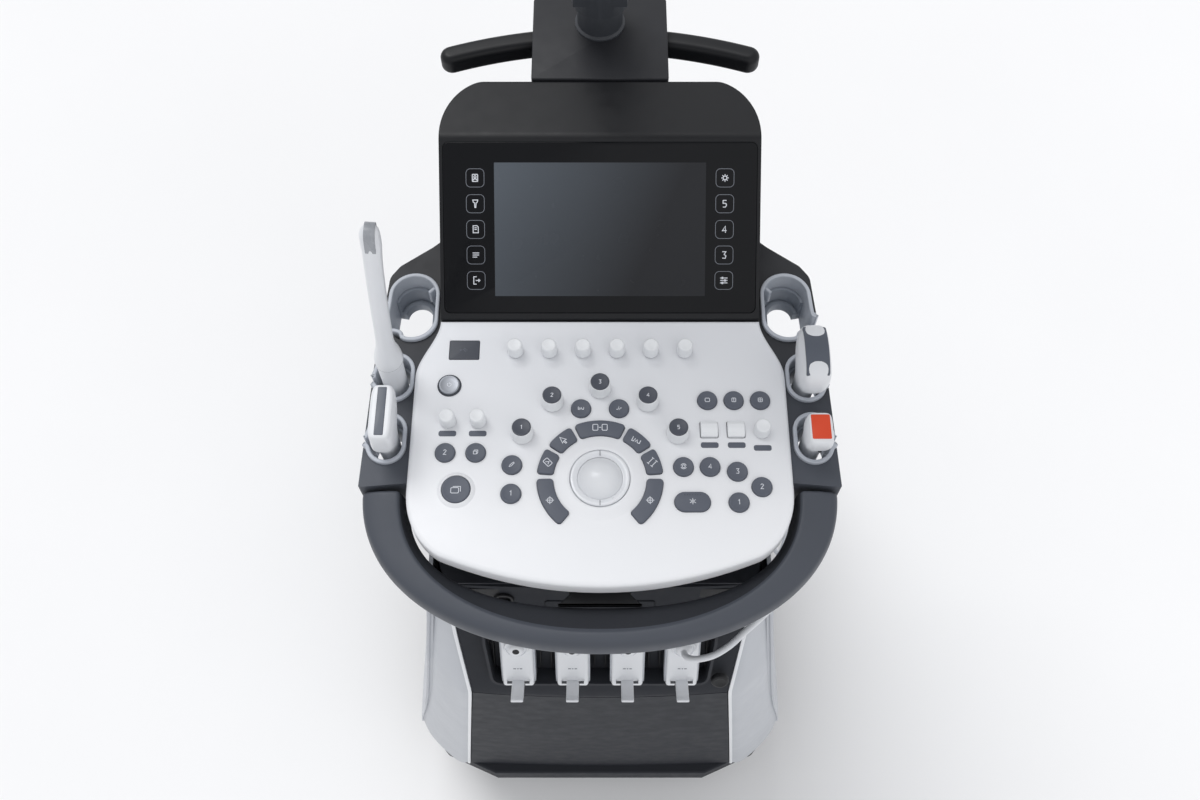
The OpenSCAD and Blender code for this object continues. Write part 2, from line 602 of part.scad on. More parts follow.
module monitor_yoke() {
    color("#3a3d42") {
        translate([0, wrist[0], wrist[1]]) rotate([0, 90, 0]) cylinder(r = 6, h = 60, center = true);
        both_sides() difference() {
            translate([20.5, 0, 0]) rotate([90, 0, 90]) linear_extrude(8)
                polygon([[220, 1288], [244, 1288], [248, 1304], [214, 1352], [182, 1356], [174, 1344],
                    [180, 1332], [206, 1322]]);
        }
        translate([0, tilt_at[0], tilt_at[1]]) rotate([0, 90, 0]) cylinder(r = 6, h = 56, center = true);
    }
}
module monitor_shell() {
    color("#2c2e32") difference() {
        union() {
            translate([0, monitor_y + monitor_t / 2, monitor_z + monitor_h / 2]) rotate([90, 0, 0])
                linear_extrude(monitor_t, center = true) rounded_rect(monitor_w, monitor_h, 14);
            translate([0, 154 + 7, monitor_z + monitor_h / 2]) rotate([90, 0, 0])
                linear_extrude(15, center = true) rounded_rect(300, 190, 20);
            translate([0, 174, tilt_at[1]]) cube([39.8, 16, 24], center = true);
            translate([0, tilt_at[0], tilt_at[1]]) rotate([0, 90, 0]) cylinder(r = 12, h = 39.8, center = true);
        }
        translate([0, tilt_at[0], tilt_at[1]]) rotate([0, 90, 0]) cylinder(r = 6 + fit, h = 60, center = true);
        translate([0, monitor_y, monitor_z + monitor_h / 2 + 4]) rotate([90, 0, 0])
            linear_extrude(6, center = true) rounded_rect(monitor_w - 30, monitor_h - 40, 4);
    }
}
module monitor_screen() {
    color("#101114") translate([0, monitor_y + 1.7, monitor_z + monitor_h / 2 + 4]) rotate([90, 0, 0])
        linear_extrude(2.6, center = true) rounded_rect(monitor_w - 30.4, monitor_h - 40.4, 4);
}

// ================= which node is drawn =================
base_frame();
base_cover();
front_panel_lower();
front_panel_upper();
port_bezel();
side_panel_left();
side_panel_right();
rear_cover();
top_deck();
port_sockets();
electronics_rack();
lift_guide();
disc_drawer();
caster_fork(CASTERS[0], 1);  // caster_fork_fl
caster_fork(CASTERS[1], 1);  // caster_fork_fr
caster_fork(CASTERS[2], -1);  // caster_fork_rl
caster_fork(CASTERS[3], -1);  // caster_fork_rr
caster_wheel(CASTERS[0], 1);  // caster_wheel_fl
caster_wheel(CASTERS[1], 1);  // caster_wheel_fr
caster_wheel(CASTERS[2], -1);  // caster_wheel_rl
caster_wheel(CASTERS[3], -1);  // caster_wheel_rr
connectors();
connector_levers();
lift_post();
console_tray();
control_panel();
front_handle();
probe_cups();
touch_housing();
touch_glass();
rear_bridge();
rear_handle();
release_paddle();
usb_cover();
trackball();
trackball_ring();
power_button();
freeze_key();
print_key();
keys_left();
keys_right();
arc_keys();
toggles();
menu_knobs();
mode_knob_1();
mode_knob_2();
mode_knob_3();
mode_knob_4();
mode_knob_5();
probe_endocavity();
probe_linear();
probe_convex();
probe_phased();
arm_lower();
arm_upper();
monitor_yoke();
monitor_shell();
monitor_screen();
probe_cable();
probe_cable_loop();
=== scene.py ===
"""Looks of the ultrasound machine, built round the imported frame. Lengths are in millimetres
inside the helpers and become metres when a mesh is made."""
import math

import bmesh
import bpy
import numpy as np
from mathutils import Matrix, Vector


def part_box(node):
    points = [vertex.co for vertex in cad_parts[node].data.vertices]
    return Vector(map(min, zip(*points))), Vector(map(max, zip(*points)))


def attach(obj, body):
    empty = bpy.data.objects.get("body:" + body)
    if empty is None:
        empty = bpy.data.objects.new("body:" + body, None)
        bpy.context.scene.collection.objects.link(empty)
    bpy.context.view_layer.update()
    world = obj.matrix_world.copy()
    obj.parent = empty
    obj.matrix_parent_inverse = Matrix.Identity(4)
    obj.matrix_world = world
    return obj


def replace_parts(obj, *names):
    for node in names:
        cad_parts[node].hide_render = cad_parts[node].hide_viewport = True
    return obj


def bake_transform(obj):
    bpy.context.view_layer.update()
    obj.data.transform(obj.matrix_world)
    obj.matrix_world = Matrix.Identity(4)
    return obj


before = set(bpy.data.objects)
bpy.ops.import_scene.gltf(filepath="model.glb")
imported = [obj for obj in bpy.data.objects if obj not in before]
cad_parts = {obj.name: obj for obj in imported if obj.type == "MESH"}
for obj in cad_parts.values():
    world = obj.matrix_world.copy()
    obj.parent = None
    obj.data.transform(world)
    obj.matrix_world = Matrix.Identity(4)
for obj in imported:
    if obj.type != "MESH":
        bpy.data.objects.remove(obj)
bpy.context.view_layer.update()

MM = 0.001


def corners(node):
    """Lowest and highest corner of a CAD node, in millimetres."""
    low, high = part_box(node)
    return low / MM, high / MM


PANEL_LOW, PANEL_HIGH = corners("control_panel")
PANEL_TOP = PANEL_HIGH.z
PANEL_REAR = 92.6                       # panel's rear edge, behind the console's own origin
CONSOLE_Y = PANEL_HIGH.y - PANEL_REAR   # where the console's origin lies on the machine
CONSOLE = Matrix.Translation((0, CONSOLE_Y, 0))
TOUCH_TILT = math.radians(32.6)
TOUCH = (Matrix.Translation((0, CONSOLE_Y + 93, PANEL_TOP + 2))
         @ Matrix.Rotation(TOUCH_TILT, 4, "X"))
PORT_LEAN = math.radians(62)
PORT = Matrix.Translation((0, -320, 662)) @ Matrix.Rotation(PORT_LEAN, 4, "X")
FACE_LEAN = math.radians(72)
FACE = Matrix.Translation((0, -273.5, 732.5)) @ Matrix.Rotation(FACE_LEAN, 4, "X")
PORT_PITCH = 58.6
SIDES = (-1, 1)
# Turns an outline so that it lies along Y and Z and is extruded along X
UPRIGHT = Matrix.Rotation(math.pi / 2, 4, "Z") @ Matrix.Rotation(math.pi / 2, 4, "X")

# ------------------------------------------------------------------ camera
CAMERA_AT = (0, -0.598, 1.868)
CAMERA_TILT = math.radians(26.16)
CAMERA_LENS = 33.9


def add_camera():
    data = bpy.data.cameras.new("camera")
    data.lens = CAMERA_LENS
    data.clip_end = 50
    camera = bpy.data.objects.new("camera", data)
    camera.location = CAMERA_AT
    camera.rotation_euler = (CAMERA_TILT, 0, 0)
    bpy.context.scene.collection.objects.link(camera)
    bpy.context.scene.camera = camera


add_camera()


# ------------------------------------------------------------------ materials
def linear(code):
    """A six-digit sRGB colour as linear RGBA."""
    parts = [int(code[i:i + 2], 16) / 255 for i in (1, 3, 5)]
    return [c / 12.92 if c <= 0.04045 else ((c + 0.055) / 1.055) ** 2.4 for c in parts] + [1]


def scaled(colour, factor):
    return [min(c * factor, 1) for c in colour[:3]] + [1]


class Shader:
    """A Principled material with a few short ways to add nodes."""

    def __init__(self, name):
        self.material = bpy.data.materials.new(name)
        self.material.use_nodes = True
        self.nodes = self.material.node_tree.nodes
        self.links = self.material.node_tree.links
        self.bsdf = self.nodes["Principled BSDF"]
        self.place = self.nodes.new("ShaderNodeTexCoord").outputs["Object"]

    def noise(self, scale, detail=3.0):
        node = self.nodes.new("ShaderNodeTexNoise")
        node.inputs["Scale"].default_value = scale
        node.inputs["Detail"].default_value = detail
        self.links.new(self.place, node.inputs["Vector"])
        return node.outputs["Fac"]

    def remap(self, value, low, high, from_low=0.3, from_high=0.7):
        node = self.nodes.new("ShaderNodeMapRange")
        node.inputs["From Min"].default_value = from_low
        node.inputs["From Max"].default_value = from_high
        node.inputs["To Min"].default_value = low
        node.inputs["To Max"].default_value = high
        self.links.new(value, node.inputs["Value"])
        return node.outputs["Result"]

    def mix(self, factor, first, second):
        node = self.nodes.new("ShaderNodeMix")
        node.data_type = "RGBA"
        self.links.new(factor, node.inputs["Factor"])
        for socket, value in ((node.inputs[6], first), (node.inputs[7], second)):
            if isinstance(value, list):
                socket.default_value = value
            else:
                self.links.new(value, socket)
        return node.outputs[2]

    def bump(self, height, strength, distance):
        node = self.nodes.new("ShaderNodeBump")
        node.inputs["Strength"].default_value = strength
        node.inputs["Distance"].default_value = distance
        self.links.new(height, node.inputs["Height"])
        self.links.new(node.outputs["Normal"], self.bsdf.inputs["Normal"])

    def join(self, output, name):
        self.links.new(output, self.bsdf.inputs[name])


def finish_of(name, colour, rough, grain=900, depth=0.12, tone=0.05, wear=0.0, metal=0.0, coat=0.0,
              shine=0.5):
    """Moulded plastic, paint or metal: soft tone changes, fine grain and lighter worn edges."""
    s = Shader(name)
    base = linear(colour)
    cloud = s.remap(s.noise(9), 0, 1)
    tint = s.mix(cloud, scaled(base, 1 - tone), scaled(base, 1 + tone))
    if wear:
        edge = s.nodes.new("ShaderNodeNewGeometry").outputs["Pointiness"]
        tint = s.mix(s.remap(edge, 0, wear, 0.51, 0.60), tint, scaled(base, 2.2))
    s.join(tint, "Base Color")
    s.join(s.remap(s.noise(60, 5), rough - 0.05, rough + 0.05), "Roughness")
    s.bump(s.noise(grain, 2), depth, 0.0002)
    s.bsdf.inputs["Metallic"].default_value = metal
    s.bsdf.inputs["Specular IOR Level"].default_value = shine
    s.bsdf.inputs["Coat Weight"].default_value = coat
    s.bsdf.inputs["Coat Roughness"].default_value = 0.08
    return s.material


def display(name, bright, dark, centre, axis, reach):
    """A switched-off display under glass, with a soft gradient along one direction of the object as painted
    reflection.
    """
    s = Shader(name)
    dot = s.nodes.new("ShaderNodeVectorMath")
    dot.operation = "DOT_PRODUCT"
    dot.inputs[1].default_value = axis
    s.links.new(s.place, dot.inputs[0])
    along = Vector(centre).dot(Vector(axis))
    blend = s.remap(dot.outputs["Value"], 0, 1, along - reach, along + reach)
    s.join(s.mix(blend, linear(bright), linear(dark)), "Base Color")
    s.join(s.remap(s.noise(40), 0.22, 0.28), "Roughness")
    s.bsdf.inputs["Specular IOR Level"].default_value = 0.14
    return s.material



def plastic_with_painted_shade(name, front, rear, y_front, y_rear, cloud, share, rough, grain, depth, shine=0.5):
    """Plastic whose colour changes from the console's front to its rear as painted shade, with faint
    clouds.
    """
    s = Shader(name)
    split = s.nodes.new("ShaderNodeSeparateXYZ")
    s.links.new(s.place, split.inputs[0])
    back = s.remap(split.outputs["Y"], 0, 1, (CONSOLE_Y + y_front) * MM, (CONSOLE_Y + y_rear) * MM)
    tint = s.mix(back, linear(front), linear(rear))
    s.join(s.mix(s.remap(s.noise(9), 0, share), tint, linear(cloud)), "Base Color")
    s.join(s.remap(s.noise(60, 5), *rough), "Roughness")
    s.bump(s.noise(grain, 2), depth, 0.0002)
    s.bsdf.inputs["Specular IOR Level"].default_value = shine
    return s.material


# Satin white of the control panel, with painted shade making it a little greyer towards the touch screen
WHITE = plastic_with_painted_shade("white_satin", "#eff0f2", "#dfe1e5", -120, 100, "#e4e6ea", 0.15, (0.38, 0.46),
                      1400, 0.05)
KNOB_WHITE = finish_of("knob_white", "#eceef0", 0.38, grain=1600, depth=0.05, tone=0.012)
KEY = finish_of("key_grey", "#575c67", 0.5, grain=1500, depth=0.1, tone=0.04)
KEY_RIM = finish_of("key_rim", "#3d414a", 0.45, grain=1500, depth=0.08, tone=0.04)
CAP = finish_of("cap_dark", "#4a4e58", 0.42, grain=1500, depth=0.08, tone=0.04)
PRINT = finish_of("print_white", "#dfe2e8", 0.55, grain=1200, depth=0.05, tone=0.02)
PRINT_SOFT = finish_of("print_grey", "#767a82", 0.5, grain=1200, depth=0.05, tone=0.03)
HANDLE = finish_of("handle_grey", "#494d55", 0.5, grain=900, depth=0.14, tone=0.03, shine=0.35)
# A darker copy of the handle grey: painted shade on the handle's inner slope, and the plain dark grey of
# the port pocket's wall
POCKET_GREY_AND_HANDLE_SHADE = finish_of("pocket_grey_and_handle_shade", "#313338", 0.58, grain=800, depth=0.16, tone=0.04, shine=0.3)
# Charcoal plastic of the tray, with painted shade taking it from the handle's grey in front to near black
# at the rear
TRAY = plastic_with_painted_shade("tray_dark", "#494d55", "#212226", -60, 90, "#5a5d64", 0.06, (0.47, 0.55),
                     900, 0.14, 0.35)
CUP = finish_of("cup_grey", "#b4b9c1", 0.42, grain=900, depth=0.1, tone=0.03)
# A darker copy of the cup grey for the ledge and floor inside each cup: painted shade
CUP_DEEP = finish_of("cup_inside", "#8f959e", 0.5, grain=900, depth=0.1, tone=0.04)
BLACK = finish_of("hood_black", "#17181b", 0.42, grain=1000, depth=0.12, tone=0.08, shine=0.28)
GLASS = finish_of("glass_black", "#0f1013", 0.16, grain=300, depth=0.01, tone=0.1, shine=0.16)
SHELL = finish_of("cover_grey", "#bfc2c7", 0.45, grain=700, depth=0.14, tone=0.025)
# Bright strip on the front edge of each side cover: a painted highlight of the rounded edge
EDGE_HIGHLIGHT_WHITE = finish_of("painted_edge_highlight", "#eceef0", 0.35, grain=900, depth=0.06, tone=0.02)
FRONT = finish_of("front_grey", "#2d2f34", 0.6, grain=900, depth=0.03, tone=0.01, shine=0.16)
# Near black for dark parts; on the face recesses, the collar holes and the phased probe's slot it is
# painted shade
DEEP = finish_of("recess_black", "#141518", 0.6, grain=500, depth=0.2, tone=0.1)
BALL = finish_of("ball_pearl", "#e2e4e7", 0.34, grain=400, depth=0.02, tone=0.02, coat=0.15)
SILVER = finish_of("ring_silver", "#e6e8eb", 0.3, grain=1800, depth=0.06, tone=0.02, metal=0.05)
POWER_GREY = finish_of("power_grey", "#9da1a8", 0.36, grain=1800, depth=0.06, tone=0.03, metal=0.4)
PROBE = finish_of("probe_white", "#e4e6e9", 0.36, grain=1200, depth=0.06, tone=0.015)
LENS = finish_of("lens_grey", "#555b66", 0.38, grain=800, depth=0.05, tone=0.05)
LENS_SILVER = finish_of("lens_silver", "#9a9da2", 0.3, grain=800, depth=0.05, tone=0.05)
LENS_RED = finish_of("lens_red", "#d9431a", 0.42, grain=700, depth=0.08, tone=0.05)
# A darker copy of the probe white for the connectors' sides: painted shade
CONNECTOR_SIDE = finish_of("connector_side", "#c3c7cd", 0.42, grain=1200, depth=0.06, tone=0.02)
CABLE = finish_of("cable_white", "#dfe1e4", 0.5, grain=500, depth=0.15, tone=0.03)
TYRE = finish_of("tyre_dark", "#26272a", 0.62, grain=500, depth=0.3, tone=0.1)
ZINC = finish_of("zinc", "#9a9ca0", 0.35, grain=300, depth=0.15, tone=0.08, metal=1.0)
ALUMINIUM = finish_of("aluminium", "#b8babd", 0.3, grain=250, depth=0.12, tone=0.05, metal=1.0)
STEEL = finish_of("painted_steel", "#4a4c50", 0.5, grain=400, depth=0.2, tone=0.08)
ARM = finish_of("arm_grey", "#3c3f44", 0.42, grain=800, depth=0.15, tone=0.05, wear=0.15)
SCREEN = finish_of("screen_black", "#0c0d10", 0.14, grain=300, depth=0.01, tone=0.1, shine=0.3)
# The touch display's bright-to-dark gradient is a painted reflection on the switched-off screen
LCD = display("touch_display", "#565c63", "#2b2c2f", TOUCH @ Vector((-30, 100, 0)) * MM,
              Vector((0.9, -0.35, -0.2)), 0.085)


# ------------------------------------------------------------------ mesh helpers
def make(name, points, faces, body, material, place=Matrix(), angle=35):
    """A mesh piece from points in millimetres; body may be None for a cutter."""
    mesh = bpy.data.meshes.new(name)
    mesh.from_pydata([(place @ Vector(p)) * MM for p in points], [], faces)
    clean = bmesh.new()
    clean.from_mesh(mesh)
    bmesh.ops.recalc_face_normals(clean, faces=clean.faces)
    clean.to_mesh(mesh)
    clean.free()
    mesh.materials.append(material)
    mesh.polygons.foreach_set("use_smooth", [True] * len(mesh.polygons))
    mesh.set_sharp_from_angle(angle=math.radians(angle))
    piece = bpy.data.objects.new(name, mesh)
    bpy.context.scene.collection.objects.link(piece)
    if body:
        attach(piece, body)
    return piece


def loft(name, rings, body, material, place=Matrix(), angle=35, closed=False, strip=False):
    """A skin through stacked rings of equal count, capped unless the stack closes on itself.
    The caps of a strip, a thin band out along one side and back along the other, are cut across."""
    n, last = len(rings[0]), len(rings) - 1
    points = [p for ring in rings for p in ring]
    faces = []
    for k in range(last + closed):
        a, b = k * n, (k + 1) % (last + 1) * n
        faces += [(a + i, a + (i + 1) % n, b + (i + 1) % n, b + i) for i in range(n)]
    if strip:
        for base in (0, last * n):
            faces += [(base + i, base + i + 1, base + n - 2 - i, base + n - 1 - i)
                      for i in range(n // 2 - 1)]
            if n % 2:
                faces.append((base + n // 2 - 1, base + n // 2, base + n // 2 + 1))
    elif not closed:
        faces += [tuple(range(n)), tuple(last * n + i for i in range(n))]
    return make(name, points, faces, body, material, place, angle)


def lathe(name, profile, body, material, at=(0, 0, 0), place=Matrix(), steps=56, angle=35):
    """Turns (radius, height) pairs round +Z at a point; ends on the axis close to a pole."""
    rings = [[(r * math.cos(2 * math.pi * i / steps), r * math.sin(2 * math.pi * i / steps), z)
              for i in range(steps)] for r, z in profile if r > 0]
    points = [p for ring in rings for p in ring]
    faces = []
    for k in range(len(rings) - 1):
        a, b = k * steps, (k + 1) * steps
        faces += [(a + i, a + (i + 1) % steps, b + (i + 1) % steps, b + i) for i in range(steps)]
    if profile[0][0] == 0:
        points.append((0, 0, profile[0][1]))
        faces += [(len(points) - 1, (i + 1) % steps, i) for i in range(steps)]
    if profile[-1][0] == 0:
        points.append((0, 0, profile[-1][1]))
        top = (len(rings) - 1) * steps
        faces += [(len(points) - 1, top + i, top + (i + 1) % steps) for i in range(steps)]
    if profile[0][0] > 0 and profile[-1][0] > 0:
        top = (len(rings) - 1) * steps
        faces += [(top + i, top + (i + 1) % steps, (i + 1) % steps, i) for i in range(steps)]
    return make(name, points, faces, body, material, place @ Matrix.Translation(at), angle)


def arc(centre, radii, start, end, steps=8):
    """Points along an ellipse's arc, in degrees."""
    a, b = (radii, radii) if isinstance(radii, (int, float)) else radii
    turns = [math.radians(start + (end - start) * i / steps) for i in range(steps + 1)]
    return [(centre[0] + a * math.cos(t), centre[1] + b * math.sin(t)) for t in turns]


def disc(radii, steps, at=(0, 0)):
    """A full circle or ellipse."""
    return arc(at, radii, 0, 360, steps)[:-1]


def rect(w, h, r, at=(0, 0), steps=6):
    points = []
    for x, y, start in ((1, -1, -90), (1, 1, 0), (-1, 1, 90), (-1, -1, 180)):
        corner = (at[0] + x * (w / 2 - r), at[1] + y * (h / 2 - r))
        points += arc(corner, r, start, start + 90, steps)
    return points


def soften(points, radius, steps=6):
    """Rounds the corners of a closed outline; radius is one number or one for each corner."""
    radii = [radius] * len(points) if isinstance(radius, (int, float)) else radius
    out = []
    for i, r in enumerate(radii):
        before, here, after = (Vector(points[j % len(points)]) for j in (i - 1, i, i + 1))
        if r <= 0:
            out.append(tuple(here))
            continue
        a, b = (before - here), (after - here)
        turn = a.angle(b)
        reach = min(r / math.tan(turn / 2), a.length * 0.48, b.length * 0.48)
        start, end = here + a.normalized() * reach, here + b.normalized() * reach
        for k in range(steps + 1):
            t = k / steps
            out.append(tuple(start * (1 - t) ** 2 + here * 2 * t * (1 - t) + end * t ** 2))
    return out


def mirrored(half):
    """Closes a right-hand half outline, given from rear to front, with its mirror image."""
    return list(half) + [(-x, y) for x, y in reversed(half) if abs(x) > 1e-6]


def area(points):
    return sum(a[0] * b[1] - b[0] * a[1] for a, b in zip(points, points[1:] + points[:1])) / 2


def inset(points, distance):
    """Moves a counter-clockwise outline inwards by a distance."""
    out = []
    for i, here in enumerate(points):
        a = (Vector(here) - Vector(points[i - 1])).normalized()
        b = (Vector(points[(i + 1) % len(points)]) - Vector(here)).normalized()
        na, nb = Vector((-a.y, a.x)), Vector((-b.y, b.x))
        out.append(tuple(Vector(here) + (na + nb) * distance / max(1 + na.dot(nb), 0.5)))
    return out


def prism(name, outline, z0, z1, body, material, top=1.0, bottom=0.5, place=Matrix(), steps=4,
          angle=35, strip=False):
    """An upright solid on an outline, with its upper and lower edges rounded."""
    outline = [p for i, p in enumerate(outline) if (Vector(p) - Vector(outline[i - 1])).length > 1e-4]
    if area(outline) < 0:
        outline = outline[::-1]
    rings = []
    for k in range(steps + 1 if bottom else 1):
        t = math.pi / 2 * k / steps
        rings.append((bottom * (1 - math.sin(t)), z0 + bottom * (1 - math.cos(t))))
    for k in range(steps + 1 if top else 1):
        t = math.pi / 2 * k / steps
        rings.append((top * (1 - math.cos(t)), z1 - top * (1 - math.sin(t))))
    stack = [[(*p, z) for p in (inset(outline, d) if d > 1e-6 else outline)] for d, z in rings]
    return loft(name, stack, body, material, place, angle, strip=strip)


def join(name, parts):
    """Joins several pieces into one object that keeps the first one's name and body."""
    with bpy.context.temp_override(active_object=parts[0], selected_editable_objects=parts):
        bpy.ops.object.join()
    parts[0].name = name
    return parts[0]


def combine(target, cutter, operation="DIFFERENCE"):
    """Cuts target with cutter, or keeps what they share, and removes the cutter."""
    step = target.modifiers.new("combine", "BOOLEAN")
    step.operation = operation
    step.solver = "EXACT"
    step.object = cutter
    graph = bpy.context.evaluated_depsgraph_get()
    mesh = bpy.data.meshes.new_from_object(target.evaluated_get(graph))
    target.modifiers.clear()
    target.data = mesh
    bpy.data.objects.remove(cutter)
    mesh.set_sharp_from_angle(angle=math.radians(35))
    return target


def bevel(piece, width, segments=3, angle=30, weld=False):
    """Rounds an object's sharp edges."""
    if weld:
        piece.modifiers.new("weld", "WELD").merge_threshold = 2e-5
    step = piece.modifiers.new("bevel", "BEVEL")
    step.width = width * MM
    step.segments = segments
    step.limit_method = "ANGLE"
    step.angle_limit = math.radians(angle)
    step.harden_normals = False
    piece.modifiers.new("normals", "WEIGHTED_NORMAL").keep_sharp = False


def dress(node, material, edge=0.0):
    """Gives a carried-over CAD node its material and, if asked, rounded edges."""
    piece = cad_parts[node]
    piece.data.materials.clear()
    piece.data.materials.append(material)
    if edge:
        bevel(piece, edge, weld=True)
    return piece


def islands(node):
    """The boxes of a CAD node's separate solids, from left to right, in millimetres."""
    work = bmesh.new()
    work.from_mesh(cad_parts[node].data)
    bmesh.ops.remove_doubles(work, verts=work.verts, dist=1e-5)
    left, boxes = set(work.verts), []
    while left:
        group, edge = set(), [left.pop()]
        while edge:
            vert = edge.pop()
            group.add(vert)
            edge += [v for e in vert.link_edges for v in e.verts if v in left]
            left.difference_update(edge)
        places = np.array([v.co for v in group]) / MM
        boxes.append((Vector(places.min(0)), Vector(places.max(0))))
    work.free()
    return sorted(boxes, key=lambda b: (round(b[0].x), b[0].y))


def middle(box):
    return (box[0] + box[1]) / 2


# ------------------------------------------------------------------ printed marks
def line(*points):
    return (list(points), False)


def loop(points):
    return (list(points), True)


def dial(r, start=0, end=360, at=(0, 0)):
    return (arc(at, r, start, end, 18)[:18 if end - start == 360 else None], end - start == 360)


MARKS = {
    "single": [loop(rect(1.5, 1.3, 0.3))],
    "double": [loop(rect(1.3, 1.4, 0.3)), line((0, -0.7), (0, 0.7))],
    "quad": [loop(rect(1.4, 1.4, 0.3)), line((0, -0.7), (0, 0.7)), line((-0.7, 0), (0.7, 0))],
    "target": [dial(0.6), line((0, -0.9), (0, 0.9)), line((-0.9, 0), (0.9, 0))],
    "power": [dial(0.7, 125, 415), line((0, 0.1), (0, 0.9))],
    "cursor": [loop([(-0.5, 0.9), (0.6, -0.1), (0.1, -0.15), (0.35, -0.8), (0.1, -0.9),
                     (-0.15, -0.25), (-0.5, -0.6)])],
    "wave": [line((-0.9, 0.5), (-0.9, -0.5), (-0.5, -0.5), (-0.35, 0.3), (-0.1, -0.5),
                  (0.15, 0.1), (0.4, -0.5), (0.9, -0.5), (0.9, 0.3))],
    "span": [line((-0.5, 0.8), (-0.5, -0.8)), line((0.5, 0.8), (0.5, -0.8)),
             line((-0.8, 0.8), (-0.2, 0.8)), line((-0.8, -0.8), (-0.2, -0.8)),
             line((0.2, 0.8), (0.8, 0.8)), line((0.2, -0.8), (0.8, -0.8))],
    "frame": [loop(rect(1.2, 1.7, 0.2)), line((-0.3, 0.4), (0.3, -0.1), (-0.3, -0.4))],
    "pair": [loop(rect(1.1, 1.4, 0.2, (-1, 0))), loop(rect(1.1, 1.4, 0.2, (1, 0))),
             line((-0.25, 0), (0.25, 0))],
    "frost": [line((math.sin(a), math.cos(a)), (-math.sin(a), -math.cos(a)))
              for a in (0, math.pi / 3, -math.pi / 3)] + [dial(0.45)],
    "cards": [loop(rect(1.5, 1.1, 0.2, (-0.2, -0.25))), line((-0.6, 0.55), (0.9, 0.55), (0.9, -0.5))],
    "pen": [loop([(-0.8, -0.8), (-0.5, -0.1), (0.5, 0.8), (0.8, 0.5), (-0.1, -0.5)])],
    "person": [loop(rect(1.3, 1.7, 0.15)), dial(0.28, at=(0, 0.25)),
               line((-0.45, -0.6), (-0.3, -0.25), (0.3, -0.25), (0.45, -0.6))],
    "probe": [loop([(-0.6, 0.9), (0.6, 0.9), (0.5, 0.4), (0.18, 0.2), (0.12, -0.9), (-0.12, -0.9),
                    (-0.18, 0.2), (-0.5, 0.4)])],
    "page": [loop([(-0.6, 0.9), (0.35, 0.9), (0.65, 0.6), (0.65, -0.8), (-0.6, -0.8)]),
             line((-0.3, 0.4), (0.3, 0.4)), line((-0.3, 0), (0.3, 0))],
    "grid": [line((-0.8, 0.5), (0.8, 0.5)), line((-0.8, 0), (0.8, 0)), line((-0.8, -0.5), (0.3, -0.5))],
    "exit": [line((0.1, 0.9), (-0.6, 0.9), (-0.6, -0.9), (0.1, -0.9)), line((-0.1, 0), (0.9, 0)),
             line((0.55, 0.35), (0.9, 0), (0.55, -0.35))],
    "gear": [dial(0.45)] + [line((0.5 * math.cos(a), 0.5 * math.sin(a)),
                                 (0.9 * math.cos(a), 0.9 * math.sin(a)))
                            for a in (math.pi / 4 * k for k in range(8))],
    "sliders": [line((-0.9, y), (0.9, y)) for y in (0.6, 0, -0.6)]
    + [dial(0.2, at=(x, y)) for x, y in ((-0.35, 0.6), (0.3, 0), (-0.35, -0.6))],
    "plug": [line((-0.9, 0), (0.8, 0)), dial(0.22, at=(-0.9, 0)), line((-0.4, 0), (0, 0.45), (0.4, 0.45)),
             line((-0.1, 0), (0.2, -0.4), (0.5, -0.4))],
    "pulse": [line((-0.9, -0.5), (-0.3, -0.5), (-0.1, 0.7), (0.15, -0.8), (0.35, 0), (0.9, 0))],
    "cube": [loop(rect(1, 1, 0.1, (-0.15, -0.15))), line((-0.6, 0.4), (-0.3, 0.75), (0.75, 0.75),
                                                         (0.75, -0.3), (0.4, -0.6))],
    "focus": [dial(0.5), dial(0.9, 20, 160), dial(0.9, 200, 340)],
    "1": [line((-0.25, 0.5), (0.1, 0.8), (0.1, -0.8))],
    "2": [line((-0.45, 0.5), (-0.2, 0.8), (0.25, 0.8), (0.45, 0.45), (-0.45, -0.8), (0.5, -0.8))],
    "3": [line((-0.45, 0.8), (0.45, 0.8), (0, 0.15), (0.45, -0.2), (0.3, -0.8), (-0.45, -0.75))],
    "4": [line((0.25, -0.8), (0.25, 0.8), (-0.5, -0.3), (0.55, -0.3))],
    "5": [line((0.45, 0.8), (-0.4, 0.8), (-0.4, 0.1), (0.3, 0.1), (0.45, -0.35), (0.2, -0.8),
               (-0.45, -0.8))],
}


def mark(name, kind, size, at, body, material, width=0.45, thick=0.12, turn=0.0, place=Matrix()):
    """A printed mark as thin mitred ribbons, size being half its height in millimetres."""
    points, faces = [], []
    for path, closed in (MARKS[kind] if isinstance(kind, str) else kind):
        path = [Vector(p) * size for p in path]
        n, base = len(path), len(points)
        for i, here in enumerate(path):
            ahead = path[(i + 1) % n] if closed or i < n - 1 else here * 2 - path[i - 1]
            behind = path[i - 1] if closed or i > 0 else here * 2 - path[1]
            a, b = (here - behind).normalized(), (ahead - here).normalized()
            na, nb = Vector((-a.y, a.x)), Vector((-b.y, b.x))
            side = (na + nb) * (width / 2) / max(1 + na.dot(nb), 0.4)
            points += [(*(here + side), 0), (*(here - side), 0),
                       (*(here + side), thick), (*(here - side), thick)]
        for i in range(n if closed else n - 1):
            p, q = base + 4 * i, base + 4 * ((i + 1) % n)
            faces += [(p + 2, p + 3, q + 3, q + 2), (p, q, q + 1, p + 1),
                      (p, p + 2, q + 2, q), (p + 1, q + 1, q + 3, p + 3)]
        if not closed:
            end = base + 4 * (n - 1)
            faces += [(base, base + 1, base + 3, base + 2), (end, end + 2, end + 3, end + 1)]
    spot = place @ Matrix.Translation(at) @ Matrix.Rotation(turn, 4, "Z")
    return make(name, points, faces, body, material, spot, angle=20)


